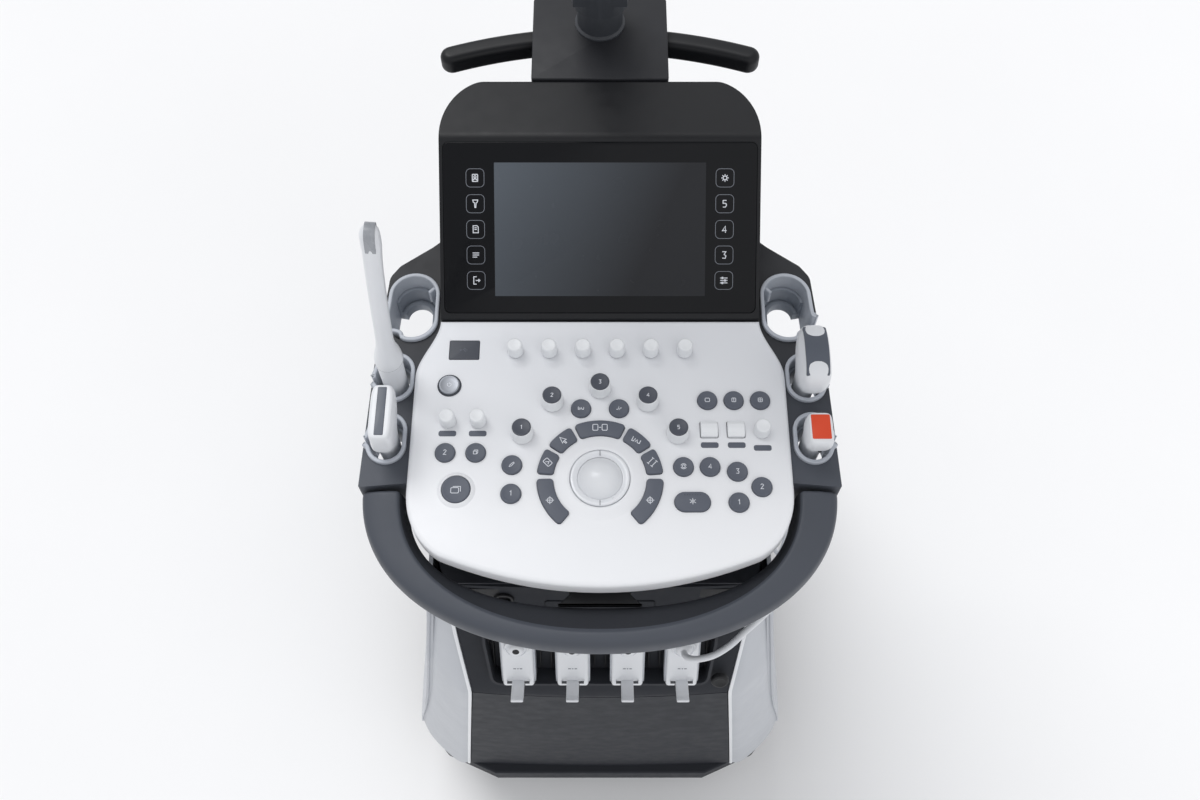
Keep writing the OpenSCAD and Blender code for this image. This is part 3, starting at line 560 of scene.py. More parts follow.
# ------------------------------------------------------------------ cable
def smooth_route(points, steps=6):
    """A Catmull-Rom line through given points."""
    p = [np.array(q, float) for q in points]
    p = [2 * p[0] - p[1], *p, 2 * p[-1] - p[-2]]
    out = []
    for a, b, c, d in zip(p, p[1:], p[2:], p[3:]):
        for k in range(steps):
            t = k / steps
            out.append(0.5 * (2 * b + (c - a) * t + (2 * a - 5 * b + 4 * c - d) * t * t
                              + (3 * b - a - 3 * c + d) * t ** 3))
    return [Vector(q) for q in [*out, p[-2]]]


def tube(name, route, radius, material, sides=14):
    """A round cable along a route, turned with the least twist."""
    side = Vector((0, 0, 1))
    if abs((route[1] - route[0]).normalized().z) > 0.9:
        side = Vector((1, 0, 0))
    rings = []
    for i, here in enumerate(route):
        ahead = (route[min(i + 1, len(route) - 1)] - route[max(i - 1, 0)]).normalized()
        side = (side - ahead * side.dot(ahead)).normalized()
        up = ahead.cross(side)
        turns = [2 * math.pi * k / sides for k in range(sides)]
        rings.append([here + radius * (side * math.cos(t) + up * math.sin(t)) for t in turns])
    return loft(name, rings, None, material, angle=50)


CABLE_D = 7
CABLE_ROUTE = [(88, -313.6, 693.8), (88.4, -318.4, 696.4), (93, -322.5, 700), (103, -324, 705),
              (118, -321, 710), (134, -312, 714), (150, -298.5, 718), (167, -284, 717),
              (183, -267, 706), (195, -248, 688), (202, -228, 664), (207, -208, 648),
              (211, -189, 648), (215, -171, 664), (219, -156, 692), (222, -143.5, 724),
              (223.6, -137, 750), (224, -133.5, 763), (224, -129.5, 772), (224, -126, 775.8),
              (224, -122.6, 776)]
LOOP_ROUTE = [(224, -107.2, 776), (225, -98, 774.5), (227.5, -92, 766), (230, -90, 748),
              (233, -90, 715), (237, -90, 670), (241, -91, 610), (245, -91, 540),
              (249, -90, 470), (253, -88, 400), (258, -82, 330), (262, -66, 272),
              (263, -44, 243), (263, -18, 238), (262, 6, 262), (258, 22, 310), (253, 30, 380),
              (248, 33, 460), (243, 33, 540), (238, 30, 605), (232, 18, 660), (224, -8, 703),
              (216, -38, 728), (211.5, -58, 741), (210.1, -68.4, 752), (210, -69, 761)]


def add_cable(name, points, node):
    route = smooth_route(points)
    piece = tube(name, route, CABLE_D / 2, CABLE)
    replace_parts(piece, node)
    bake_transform(piece)


add_cable("cable", CABLE_ROUTE, "probe_cable")
add_cable("cable_loop", LOOP_ROUTE, "probe_cable_loop")


# ------------------------------------------------------------------ control panel
def ease(t):
    return t * t * (3 - 2 * t)


def panel_half(g=0):
    """Right half of the panel's outline from rear to front, moved in by g."""
    flare = [(166 - g + 22 * ease(i / 16), PANEL_REAR - 64.6 * i / 16) for i in range(17)]
    corner = arc((128, -97), (60 - g, 72 - g), 0, -65, 14)
    front = [(x, -193 + g + x * x / 766) for x in range(148, 0, -12)]
    return flare + corner + front + [(0, -193 + g)]


def hole(box, outline=None, depth=9, gap=0.35):
    """A cutter for the pocket that a control sits in."""
    at, size = middle(box), box[1] - box[0]
    if outline is None:
        outline = disc(size.x / 2 + gap, 40)
    return prism("cutter", outline, PANEL_TOP - depth, PANEL_TOP + 3, None, DEEP, 0, 0,
                 Matrix.Translation((at.x, at.y, 0)))


def polar_key(mid, half, r0=45.5, r1=61.5, corner=3.2, grow=0.0):
    """Outline of a key bent round the trackball: a rounded rectangle wrapped on an arc."""
    radius = (r0 + r1) / 2
    flat = rect(2 * math.radians(half) * radius + 2 * grow, r1 - r0 + 2 * grow, corner, steps=5)
    dense = []
    for a, b in zip(flat, flat[1:] + flat[:1]):
        count = max(1, int((Vector(b) - Vector(a)).length / 3))
        dense += [(a[0] + (b[0] - a[0]) * k / count, a[1] + (b[1] - a[1]) * k / count)
                  for k in range(count)]
    out = []
    for x, y in dense:
        a = math.radians(mid) + x / radius
        out.append(((radius + y) * math.sin(a), (radius + y) * math.cos(a)))
    return out


BALL_BOX = corners("trackball")
BALL_AT = middle(BALL_BOX)
BALL_SPOT = Matrix.Translation((BALL_AT.x, BALL_AT.y, 0))
KNOB_STEM = [(0, -13), (3, -13), (3, 2), (0, 2)]
ARC_KEYS = [(0, 24.5, "pair"), (-42, 13.5, "cursor"), (42, 13.5, "wave"), (-72.5, 13, "frame"),
            (72.5, 13, "span"), (-116, 25, "target"), (116, 25, "target")]
ROUND_KEYS = islands("keys_left") + islands("keys_right")
MODE_KNOBS = [corners(f"mode_knob_{i}") for i in range(1, 6)]
SMALL_KNOBS = islands("menu_knobs")
TOGGLES = islands("toggles")
FREEZE, PRINT_KEY, POWER = corners("freeze_key"), corners("print_key"), corners("power_button")
USB = corners("usb_cover")


def stadium(w, l, steps=12):
    r = min(w, l) / 2
    if w > l:
        return arc((w / 2 - r, 0), r, -90, 90, steps) + arc((r - w / 2, 0), r, 90, 270, steps)
    return arc((0, l / 2 - r), r, 0, 180, steps) + arc((0, r - l / 2), r, 180, 360, steps)


def add_panel():
    panel = prism("panel", mirrored(panel_half()), PANEL_LOW.z, PANEL_TOP, None, WHITE, 5, 2,
                  CONSOLE, steps=6)
    cutters = [hole(b) for b in ROUND_KEYS + [PRINT_KEY, POWER]]
    cutters += [hole(b, rect(18.4, 18.4, 2)) for b in TOGGLES]
    cutters += [hole(FREEZE, stadium(35.8, 20.8)), hole(USB, rect(31.4, 22.8, 1.6), 3)]
    cutters += [prism("cutter", polar_key(mid, half, corner=3.5, grow=0.4), PANEL_TOP - 9,
                      PANEL_TOP + 3, None, DEEP, 0, 0, BALL_SPOT)
                for mid, half, _ in ARC_KEYS]
    cutters.append(prism("cutter", disc(29.4, 64), PANEL_LOW.z - 2, PANEL_TOP + 3, None, DEEP, 0, 0,
                         BALL_SPOT))
    panel = combine(panel, join("cutters", cutters))
    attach(panel, "console")
    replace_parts(panel, "control_panel")
    top = PANEL_TOP - 0.1
    dish = [(30, -0.2), (30, 1.6), (31, 2.1), (33, 2.0), (37, 1.2), (41, 0.35), (43.5, 0.05), (43.5, -0.2)]
    lathe("ball_surround", dish, "console", WHITE, (BALL_AT.x, BALL_AT.y, top), steps=96)


def add_ball():
    r = (BALL_BOX[1].z - BALL_BOX[0].z) / 2
    turns = [math.radians(-90 + 180 * i / 40) for i in range(41)]
    profile = [(max(r * math.cos(t), 0) if 0 < i < 40 else 0, r * math.sin(t))
               for i, t in enumerate(turns)]
    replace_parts(lathe("ball", profile, "trackball", BALL, BALL_AT, steps=72), "trackball")
    top = PANEL_TOP
    band = [(29, -4), (29, 1.6), (28.6, 2.5), (27.4, 2.95), (25.6, 2.7), (24.0, 1.9), (23.1, 1.2),
            (22.2, 1.1), (23.6, -3.9)]
    ring = lathe("ball_ring", band, "console", SILVER, (BALL_AT.x, BALL_AT.y, top), steps=96)
    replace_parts(ring, "trackball_ring")
    for s in SIDES:
        mark(f"ring_tick_{'rf'[s < 0]}", [line((-1, 0), (1, 0))], 2.6, (BALL_AT.x, BALL_AT.y + s * 26,
             top + 2.2), "console", KEY_RIM, 0.5, 0.9, math.pi / 2)


def key_profile(r, rise, foot=-6):
    return [(0, foot), (r, foot), (r, rise - 1.1), (r - 0.3, rise - 0.4), (r - 0.9, rise - 0.02),
            (r - 1.5, rise), (r - 2.0, rise - 0.15), (r * 0.5, rise - 0.55), (0, rise - 0.65)]


def add_round_key(name, box, body, material, kind, rise=3.0, size=3.0):
    at, r = middle(box), (box[1].x - box[0].x) / 2
    base = Vector((at.x, at.y, PANEL_TOP))
    piece = lathe(name, key_profile(r, rise), body, material, base)
    mark(f"{name}_mark", kind, size, base + Vector((0, 0, rise - 0.62)), body, PRINT, 0.62)
    return piece


def add_keys():
    left = ["wave", "pulse", "2", "cube", "pen", "1"]
    right = ["single", "double", "quad", "focus", "4", "3", "2", "1"]
    for body, node, kinds in (("keys_left", "keys_left", left), ("keys_right", "keys_right", right)):
        boxes = sorted(islands(node), key=lambda b: (-round((middle(b).y - CONSOLE_Y) / 15), b[0].x))
        pieces = [add_round_key(f"{node}_{i + 1}", box, body, KEY, kinds[i])
                  for i, box in enumerate(boxes)]
        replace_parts(pieces[0], node)
    for box, node, kind, size, material in ((PRINT_KEY, "print_key", "cards", 5, KEY),
                                            (POWER, "power_button", "power", 2.8, POWER_GREY)):
        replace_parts(add_round_key(f"{node}_cap", box, node, material, kind, 3.4, size), node)
    at = middle(PRINT_KEY)
    collar = [(14.4, -0.2), (14.4, 2.3), (14.9, 2.7), (16.0, 2.2), (17.2, 0.9), (18.4, 0.15), (18.6, -0.2)]
    lathe("print_collar", collar, "console", WHITE, (at.x, at.y, PANEL_TOP), steps=72)
    at = middle(POWER)
    band = [(10.9, -0.2), (10.9, 1.2), (11.3, 1.6), (12.0, 1.1), (12.2, -0.2)]
    lathe("power_collar", band, "console", KEY_RIM, (at.x, at.y, PANEL_TOP), steps=72)
    at = middle(FREEZE)
    cap = prism("freeze_cap", stadium(35, 20), PANEL_TOP - 6, PANEL_TOP + 3, "freeze_key", KEY, 1.2,
                0.3, Matrix.Translation((at.x, at.y, 0)))
    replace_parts(cap, "freeze_key")
    mark("freeze_mark", "frost", 3.2, (at.x, at.y, PANEL_TOP + 2.95), "freeze_key", PRINT, 0.6)
    for i in range(7):
        dot = (at.x - 7.5 + 2.5 * i, at.y + 6.6, PANEL_TOP + 2.9)
        lathe(f"freeze_dot_{i + 1}", [(0, -0.2), (0.55, -0.2), (0.45, 0.25), (0, 0.35)], "freeze_key",
              KEY_RIM, dot, steps=12)
    for i, (mid, half, kind) in enumerate(ARC_KEYS):
        piece = prism(f"arc_key_{i + 1}", polar_key(mid, half), PANEL_TOP - 6, PANEL_TOP + 3,
                      "arc_keys", KEY, 1.1, 0.3, BALL_SPOT)
        if i == 0:
            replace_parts(piece, "arc_keys")
        turn = math.radians(mid)
        at = (BALL_AT.x + 53.5 * math.sin(turn), BALL_AT.y + 53.5 * math.cos(turn), PANEL_TOP + 2.95)
        tilt = -turn if abs(mid) < 90 else 0
        size = 4.6 if abs(mid) < 90 else 4.4
        mark(f"arc_mark_{i + 1}", kind, size, at, "arc_keys", PRINT, 0.7, turn=tilt * 0.6)


def add_knobs():
    for i, box in enumerate(SMALL_KNOBS):
        at = middle(box)
        h = box[1].z - PANEL_TOP
        profile = [(0, 1.5), (8.0, 1.5), (8.15, 2.4), (7.6, h - 2.2), (7.3, h - 0.9), (6.5, h - 0.15),
                   (5.6, h), (5.0, h - 0.25), (0, h - 0.5)]
        knob = lathe(f"small_knob_{i + 1}", profile, "menu_knobs", KNOB_WHITE,
                     (at.x, at.y, PANEL_TOP), steps=64)
        if i == 0:
            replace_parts(knob, "menu_knobs")
        lathe(f"small_knob_stem_{i + 1}", KNOB_STEM, "menu_knobs", STEEL, (at.x, at.y, PANEL_TOP),
              steps=24)
    for i, box in enumerate(MODE_KNOBS):
        at, body = middle(box), f"mode_knob_{i + 1}"
        spot = (at.x, at.y, PANEL_TOP)
        h = box[1].z - PANEL_TOP
        profile = [(0, 1.5), (11, 1.5), (11.1, 2.4), (10.4, 8), (10.1, h - 2.5), (9.9, h - 1.2),
                   (9.5, h - 0.9), (9.4, h - 2.2), (0, h - 2.2)]
        base = lathe(f"{body}_base", profile, body, KNOB_WHITE, spot, steps=72)
        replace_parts(base, body)
        cap = [(0, h - 2.3), (9.2, h - 2.3), (9.2, h - 0.6), (8.9, h - 0.1), (8.3, h), (7.4, h - 0.25),
               (0, h - 0.75)]
        lathe(f"{body}_cap", cap, body, CAP, spot, steps=64)
        lathe(f"{body}_stem", KNOB_STEM, body, STEEL, spot, steps=24)
        mark(f"{body}_mark", str(i + 1), 2.4, (at.x, at.y, PANEL_TOP + h - 0.7), body, PRINT, 0.6)
    rocker = [(-8.3, 0), (8.3, 0), (8.1, 5), (4.5, 7.1), (0, 7.5), (-4.5, 6.9), (-8.1, 4.6)]
    for i, box in enumerate(TOGGLES):
        at = middle(box)
        spot = Matrix.Translation((at.x, at.y, PANEL_TOP - 2)) @ UPRIGHT
        outline = soften(rocker, [0.3, 0.3, 1.2, 1.5, 2, 1.5, 1.2], 4)
        piece = prism(f"toggle_{i + 1}", outline, -8.5, 8.5, "toggles", KNOB_WHITE, 1.2, 1.2, spot)
        if i == 0:
            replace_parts(piece, "toggles")


def add_labels():
    """Dark blank label strips under the small knobs and the toggles, and the USB door."""
    spots = [middle(b) for b in SMALL_KNOBS if b[0].y < CONSOLE_Y] + [middle(b) for b in TOGGLES]
    for i, at in enumerate(spots):
        reach = 13 if at.x < 0 else 15.5
        drop = reach + (2 if at.x > 0 and abs(at.x) > 140 else 1 if at.x > 0 else 0)
        prism(f"label_{i + 1}", rect(17.5, 6, 2.2), PANEL_TOP - 0.1, PANEL_TOP + 0.35, "console", KEY,
              0.15, 0, Matrix.Translation((at.x, at.y - drop, 0)))
    at = middle(USB)
    door = prism("usb_door", rect(30.6, 22.1, 1.4), PANEL_TOP - 3, PANEL_TOP + 0.5, "console", KEY_RIM,
                 0.8, 0.3, Matrix.Translation((at.x, at.y, 0)))
    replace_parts(door, "usb_cover")
    mark("usb_mark", "plug", 4, (at.x, at.y, PANEL_TOP + 0.45), "console", KEY, 0.6, 0.15)


# ------------------------------------------------------------------ front handle
def handle_section(t):
    """Cross-section of the bar at angle t: outer edge, ridge, inner slope and underside."""
    c, s = abs(math.cos(t)), math.sin(t)
    side = 1 if math.cos(t) > 0 else -1
    outer = Vector((side * 235 * c ** 0.95, -91 - 155 * s ** 0.95))
    inner = Vector((side * 190 * c ** 0.83, -91 - 110 * s ** 0.83))
    ridge = 0.85 - 0.49 * s * s
    low, high = 796, 830 + 11 * (1 - s) ** 2
    slope = 0.62 + 0.16 * (1 - s)
    shape = [(0.0, 0.40), (0.012, 0.62), (0.045, 0.80), (0.11, 0.91), (ridge * 0.5, 0.975),
             (ridge - 0.06, 1.0), (ridge - 0.015, 0.995), (ridge + 0.025, 0.95),
             ((1.1 + ridge) / 2.1, slope), (0.955, 0.45), (0.992, 0.32), (1.0, 0.22), (0.975, 0.1),
             (0.9, 0.03), (0.72, 0.0), (0.3, 0.0), (0.1, 0.06), (0.02, 0.2)]
    return [(*(outer + (inner - outer) * u), low + (high - low) * v) for u, v in shape]


def add_handle():
    steps = 96
    rings = [handle_section(math.pi * i / steps) for i in range(steps + 1)]
    bar = loft("handle_bar", rings, "console", HANDLE, CONSOLE, angle=60)
    bar.data.materials.append(POCKET_GREY_AND_HANDLE_SHADE)
    count = len(rings[0])
    # The inner slope (section faces 7 to 12) takes the darker copy of the handle grey as painted shade
    for face in bar.data.polygons[:steps * count]:
        face.material_index = int(7 <= face.index % count <= 12)
    bar.modifiers.new("smooth", "SUBSURF").levels = 1
    bar.modifiers["smooth"].render_levels = 2
    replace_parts(bar, "front_handle")


# ------------------------------------------------------------------ trays and probe cups
# centre, half width, half length, middle of the slot and half of its gap
CUPS = [(196, 112, 27, 41, -20, 9), (210, 29, 21, 28, -4, 4.5), (212, -39, 20, 28, -3, 4.5)]
TRAY_LOW, TRAY_TOP = 790, PANEL_TOP - 8
CUP_WALL = 4.2


def tray_half():
    corner = [(0, 262), (150, 262), (163, 204), (181, 188), (214, 164), (224, 150), (232, 40),
              (236, -90.5), (186, -90.5)]
    radii = [0, 12, 10, 12, 14, 18, 60, 1.5, 2]
    out = [(0, 262)]
    for i in range(1, len(corner) - 1):
        out += soften([corner[i - 1], corner[i], corner[i + 1]], [0, radii[i], 0])[1:-1]
    return out + arc((124, -88), (56, 66), 2, -62, 10) + [(100, -160), (50, -169), (0, -172)]


def tray_edge(y):
    """How far out the tray reaches beside a cup, in the console's plan."""
    return 224 + (150 - y) * 0.0665 if y > 30 else 232 + (30 - y) * 0.033


def cup_path(c, beyond=0):
    """Middle line of a cup's wall: from the upper lip round the inside to the lower lip."""
    x, y, a, b, slot, gap = c
    r = 7.5
    edge = tray_edge(y + slot) + beyond
    ring = [(x + px, y + py) for px, py in stadium(2 * a - CUP_WALL, 2 * b - CUP_WALL, 24)]
    first = min(range(len(ring)), key=lambda i: (ring[i][0] < x, abs(ring[i][1] - y - slot)))
    ring = ring[first:] + ring[:first]
    kept = [p for p in ring if p[0] < x or abs(p[1] - y - slot) > gap + r * 0.9]
    start, end = kept[0], kept[-1]
    upper = [(edge, y + slot + gap - 1.5), (min(start[0] + r, edge - 2), y + slot + gap),
             (start[0] + 1.8, y + slot + gap + r * 0.36)]
    lower = [(end[0] + 1.8, y + slot - gap - r * 0.36),
             (min(end[0] + r, edge - 2), y + slot - gap), (edge, y + slot - gap + 1.5)]
    head = smooth_route([(*p, 0) for p in upper + kept[:2]], 5)[:-6]
    tail = smooth_route([(*p, 0) for p in kept[-2:] + lower], 5)[6:]
    return [tuple(p[:2]) for p in head] + kept[1:-1] + [tuple(p[:2]) for p in tail]


def beside(path, distance):
    """A line that runs at a distance to the right of a path."""
    out = []
    for i, here in enumerate(path):
        ahead = Vector(path[min(i + 1, len(path) - 1)]) - Vector(path[max(i - 1, 0)])
        ahead.normalize()
        out.append((here[0] + ahead.y * distance, here[1] - ahead.x * distance))
    return out


def cup_mouth(c, r=5.5):
    """The opening in the tray that the two lips of a cup line."""
    x, y, a, b, slot, gap = c
    w = gap + CUP_WALL / 2 + 0.1

    def side(dy):
        bend = max(abs(dy) - (b - a), 0)
        return x + math.sqrt(max(a * a - bend * bend, 0))

    upper, lower = side(slot + w + r), side(slot - w - r)
    return ([(x, y + slot + w + r)] + arc((upper + r, y + slot + w + r), r, 180, 270, 6)
            + [(x + a + 60, y + slot + w), (x + a + 60, y + slot - w)]
            + arc((lower + r, y + slot - w - r), r, 90, 180, 6) + [(x, y + slot - w - r)])


def shifted(points, x, y, side=1):
    return [((px + x) * side, py + y) for px, py in points]


def band(name, path, near, far, z0, z1, body, material, s, top=1.0):
    outline = beside(path, near) + beside(path, far)[::-1]
    return prism(name, [(px * s, py) for px, py in outline], z0, z1, body, material, top, 0.4,
                 CONSOLE, steps=5, strip=True)


def add_tray():
    tray = prism("tray", mirrored(tray_half()), TRAY_LOW, TRAY_TOP, None, TRAY, 0, 0, CONSOLE)
    cutters = [prism("cutter", mirrored(panel_half(-0.6)), PANEL_LOW.z, PANEL_TOP + 5, None, DEEP, 0, 0,
                     CONSOLE)]
    for s in SIDES:
        for c in CUPS:
            for void in (shifted(stadium(2 * c[2] + 0.2, 2 * c[3] + 0.2, 24), c[0], c[1]), cup_mouth(c)):
                cutters.append(prism("cutter", [(px * s, py) for px, py in void], 780, 870, None, DEEP,
                                     0, 0, CONSOLE))
    for cutter in cutters:
        tray = combine(tray, cutter)
    bevel(tray, 2.2, 4)
    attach(tray, "console")
    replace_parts(tray, "console_tray")
    prism("cable_clip", rect(14, 14, 3), 769, 791, "console", TRAY, 1.5, 1.5,
          Matrix.Translation((224, -115, 0)))


def add_cups():
    """Cups with a rounded rim that curls out into two lips, a ledge inside and an open floor."""
    rim = TRAY_TOP + 4
    for s in SIDES:
        for k, c in enumerate(CUPS):
            tag = f"{'lr'[s > 0]}{k + 1}"
            path = cup_path(c)
            h = CUP_WALL / 2
            wall = band(f"probe_cup_{tag}", path, -h, h, TRAY_LOW, rim, "console", CUP, s, 1.3)
            inner = [p for p in path if p[0] < c[0] + c[2] - 2]
            # The ledge and the floor take the darker copy of the cup grey as painted shade
            band(f"cup_ledge_{tag}", inner, -h - 3.6, -h + 0.5, TRAY_LOW + 1, rim - 21, "console", CUP_DEEP,
                 s, 1.6)
            if k == 0:
                band(f"cup_floor_{tag}", inner, -h - 9, -h - 3, TRAY_LOW + 1, rim - 42, "console", CUP_DEEP,
                     s, 2.5)
                spot = (s * (c[0] - 19), c[1] + 25, 0)
                prism(f"cup_rib_{tag}", rect(4, 14, 1.5), rim - 24, rim - 5, "console", CUP, 1.5, 0.5,
                      CONSOLE @ Matrix.Translation(spot) @ Matrix.Rotation(s * 0.75, 4, "Z"))
            if s > 0 and k == 0:
                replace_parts(wall, "probe_cups")


# ------------------------------------------------------------------ touch unit
def add_touch_unit():
    rear = corners("touch_housing")[1].y - CONSOLE_Y
    top = corners("touch_housing")[1].z
    half = [(0, rear)] + arc((113, 256), (52, rear - 256), 90, 0, 16) + [(165, 93), (0, 93)]
    block = prism("touch_hood", mirrored(half), PANEL_LOW.z + 0.5, top + 1, None, BLACK, 0, 0, CONSOLE)
    knee = TOUCH_TILT
    reach = 185
    side = [(93, PANEL_LOW.z + 1), (93, PANEL_TOP + 2),
            (93 + reach * math.cos(knee) + 2, PANEL_TOP + 2 + reach * math.sin(knee)),
            (rear, top - 2), (rear, top - 17), (262, 842), (262, PANEL_LOW.z + 1)]
    side = soften(side, [0, 1.5, 16, 5, 8, 6, 0], 8)
    cutter = prism("cutter", side, -200, 200, None, BLACK, 0, 0, CONSOLE @ UPRIGHT)
    hood = combine(block, cutter, "INTERSECT")
    pocket = prism("cutter", rect(322.8, 174.8, 6.3), -3, 20, None, DEEP, 0, 0,
                   TOUCH @ Matrix.Translation((0, 93, 0)))
    hood = combine(hood, pocket)
    bevel(hood, 1.6, 4)
    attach(hood, "console")
    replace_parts(hood, "touch_housing")
    glass = prism("touch_pane", rect(322, 174, 6), -3, 0.3, "console", GLASS, 0.8, 0.2,
                  TOUCH @ Matrix.Translation((0, 93, 0)))
    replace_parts(glass, "touch_glass")
    prism("touch_lcd", rect(217, 136, 0.6), 0.1, 0.42, "console", LCD, 0.05, 0,
          TOUCH @ Matrix.Translation((0, 91.5, 0)))
    kinds = {-1: ["exit", "grid", "page", "probe", "person"], 1: ["sliders", "3", "4", "5", "gear"]}
    for s in SIDES:
        for i, kind in enumerate(kinds[s]):
            at = (s * 128, 39.6 + 26.1 * i, 0.25)
            mark(f"touch_key_{'lr'[s > 0]}{i + 1}", [loop(rect(9, 9, 2.2))], 2.05, at, "console",
                 PRINT_SOFT, 0.55, 0.1, place=TOUCH)
            mark(f"touch_mark_{'lr'[s > 0]}{i + 1}", kind, 4.2, at, "console", PRINT, 0.85, 0.1,
                 place=TOUCH)


# ------------------------------------------------------------------ rear bridge and handle
def add_rear():
    high = corners("rear_bridge")[1]
    plate_top = 951
    spot = Matrix.Translation((0, CONSOLE_Y + 383.5, 0))
    plate = prism("bridge_plate", rect(145, 114, 3), 937, plate_top, "console", TRAY, 1.5, 1.5, spot)
    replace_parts(plate, "rear_bridge")
    prism("bridge_neck", rect(110, 45, 5), 842, 937, "console", TRAY, 0.5, 2,
          Matrix.Translation((0, CONSOLE_Y + 349, 0)))
    post = [(0, -1), (27, -1), (27, 2), (24.5, 4), (24, 30), (23, 33.5), (15, 34), (15, high.z - plate_top),
            (0, high.z - plate_top)]
    lathe("bridge_post", post, "console", ARM, (0, CONSOLE_Y + 405, plate_top))
    reach, mid, r = math.radians(19), 496, 12
    points = [((mid + r) * math.sin(a), (mid + r) * math.cos(a))
              for a in np.linspace(-reach, reach, 41)]
    end = (mid * math.sin(reach), mid * math.cos(reach))
    points += arc(end, r, 71, -109, 12)[1:-1]
    points += [((mid - r) * math.sin(a), (mid - r) * math.cos(a))
               for a in np.linspace(reach, -reach, 41)]
    points += arc((-end[0], end[1]), r, 289, 109, 12)[1:-1]
    low, high = corners("rear_handle")
    bar = prism("rear_grip", points, low.z + 4, high.z, "console", BLACK, 8, 7,
                CONSOLE @ Matrix.Translation((0, -92, 0)), steps=8)
    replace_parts(bar, "rear_handle")


add_panel()
add_ball()
add_keys()
add_knobs()
add_labels()
add_handle()
add_tray()
add_cups()
add_touch_unit()
add_rear()


# ------------------------------------------------------------------ probes
def oval(x, y, a, b, z, power=2.0, steps=48):
    """A ring that goes from an ellipse (power 2) towards a rounded rectangle (higher powers)."""
    ring = []
    for i in range(steps):
        t = 2 * math.pi * i / steps
        c, s = math.cos(t), math.sin(t)
        ring.append((x + a * math.copysign(abs(c) ** (2 / power), c),
                     y + b * math.copysign(abs(s) ** (2 / power), s), z))
    return ring


def refine(rings, steps=5):
    """More rings between a few given ones, along smooth lines."""
    lines = [smooth_route(points, steps) for points in zip(*rings)]
    return [[tuple(p) for p in ring] for ring in zip(*lines)]


def curved_patch(name, w, l, r, body, material, place, sag, thick=1.2, steps=14):
    """A lens: a rounded plate bent along its length."""
    outline = rect(w, l, r, steps=4)
    rows = []
    for z, g in ((-thick, 0), (0.2, 0), (0.5, 0.35)):
        rows.append([(*p, z) for p in (inset(outline, g) if g else outline)])
    plate = loft(name, rows, body, material)
    work = bmesh.new()
    work.from_mesh(plate.data)
    for i in range(1, steps):
        y = (-l / 2 + l * i / steps) * MM
        bmesh.ops.bisect_plane(work, geom=work.verts[:] + work.edges[:] + work.faces[:],
                               plane_co=(0, y, 0), plane_no=(0, 1, 0))
    for vert in work.verts:
        vert.co.z -= sag * MM * (vert.co.y / (l * MM / 2)) ** 2
        vert.co = place @ (vert.co / MM) * MM
    work.to_mesh(plate.data)
    work.free()
    return plate


def probe_spot(k, side):
    return CONSOLE @ Matrix.Translation((side * CUPS[k][0], CUPS[k][1], 0))


def add_endocavity():
    body, spot = "probe_endocavity", probe_spot(1, -1)
    rings = [oval(*v) for v in (
        (0, 0, 7.6, 8.6, 772.5), (0, 0, 9.8, 11.4, 786), (0, 0, 11, 13, 800), (0, 0, 12, 14.5, 830),
        (0.4, 0, 12.6, 15, 862), (0.9, 0, 12.9, 15, 875), (1.2, 0, 13.9, 15.2, 880), (1.4, 0, 14, 15, 888),
        (1.8, 0, 12.6, 13.4, 897), (2.6, 0, 10, 10.4, 909), (3.6, 0.3, 8.7, 8.7, 922),
        (6, 1, 8.4, 8.4, 950), (9, 2, 8.3, 8.3, 985), (15, 3, 8.3, 8.3, 1045),
        (18, 4, 8.6, 8.6, 1070), (18.6, 4.4, 8.9, 8.9, 1076),
        (19.4, 4.8, 8.9, 8.9, 1088), (20, 5, 8.2, 8.2, 1095), (20.4, 5, 5.6, 5.6, 1099),
        (20.5, 5, 2.6, 2.6, 1100.3))]
    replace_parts(loft("probe_endocavity_body", refine(rings, 4), body, PROBE, spot), "probe_endocavity")
    lathe("endocavity_seam", [(13.95, -0.5), (14.25, 0), (13.95, 0.5)], body, LENS_SILVER, (1.3, 0, 883.5),
          place=spot @ Matrix.Diagonal((1, 1.075, 1, 1)), steps=64)
    lean = Matrix.Translation((20.2, 5, 1091)) @ Matrix.Rotation(math.radians(6), 4, "Y")
    half = [(9.3, -15), (9.5, -4), (9.5, -1.5), (9.1, 2.5), (8.5, 5.4), (7, 8), (4.4, 9.8), (1.6, 10.3)]
    window = [(-x, y) for x, y in half] + half[::-1]
    inner = [(x * 0.72, y * 0.8 - 1) for x, y in reversed(window)]
    prism("endocavity_window", window + inner, -4.6, 4.6, body, LENS_SILVER, 0.5, 0.5,
          spot @ lean @ UPRIGHT, angle=40)


def add_linear():
    body, spot = "probe_linear", probe_spot(2, -1)
    rings = [oval(*v) for v in (
        (0, 0, 6.6, 7.6, 762.4), (0, 0, 8.4, 10.6, 776), (0, 0, 9.6, 12.8, 790), (0, 0, 10.6, 14.6, 820),
        (0.4, 0, 10.9, 16, 844, 2.3), (1.4, -0.6, 11, 20.5, 858, 2.8), (2.8, -1.4, 11.2, 25.6, 870, 3.6),
        (4, -2.2, 11.4, 28.2, 881, 4.6), (5.4, -2.8, 11.5, 28.8, 895, 5), (6, -3, 11.5, 28.9, 903, 5),
        (6, -3, 11.2, 28.6, 908.5, 5), (6, -3, 10, 27.5, 911.6, 5), (6, -3, 8.2, 25.8, 912.6, 5),
        (6, -3, 7, 24.6, 912.7, 5))]
    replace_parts(loft("probe_linear_body", refine(rings, 4), body, PROBE, spot), "probe_linear")
    prism("linear_lens", rect(8.6, 50, 1), 910, 913.3, body, LENS, 0.6, 0,
          spot @ Matrix.Translation((6, -3, 0)))


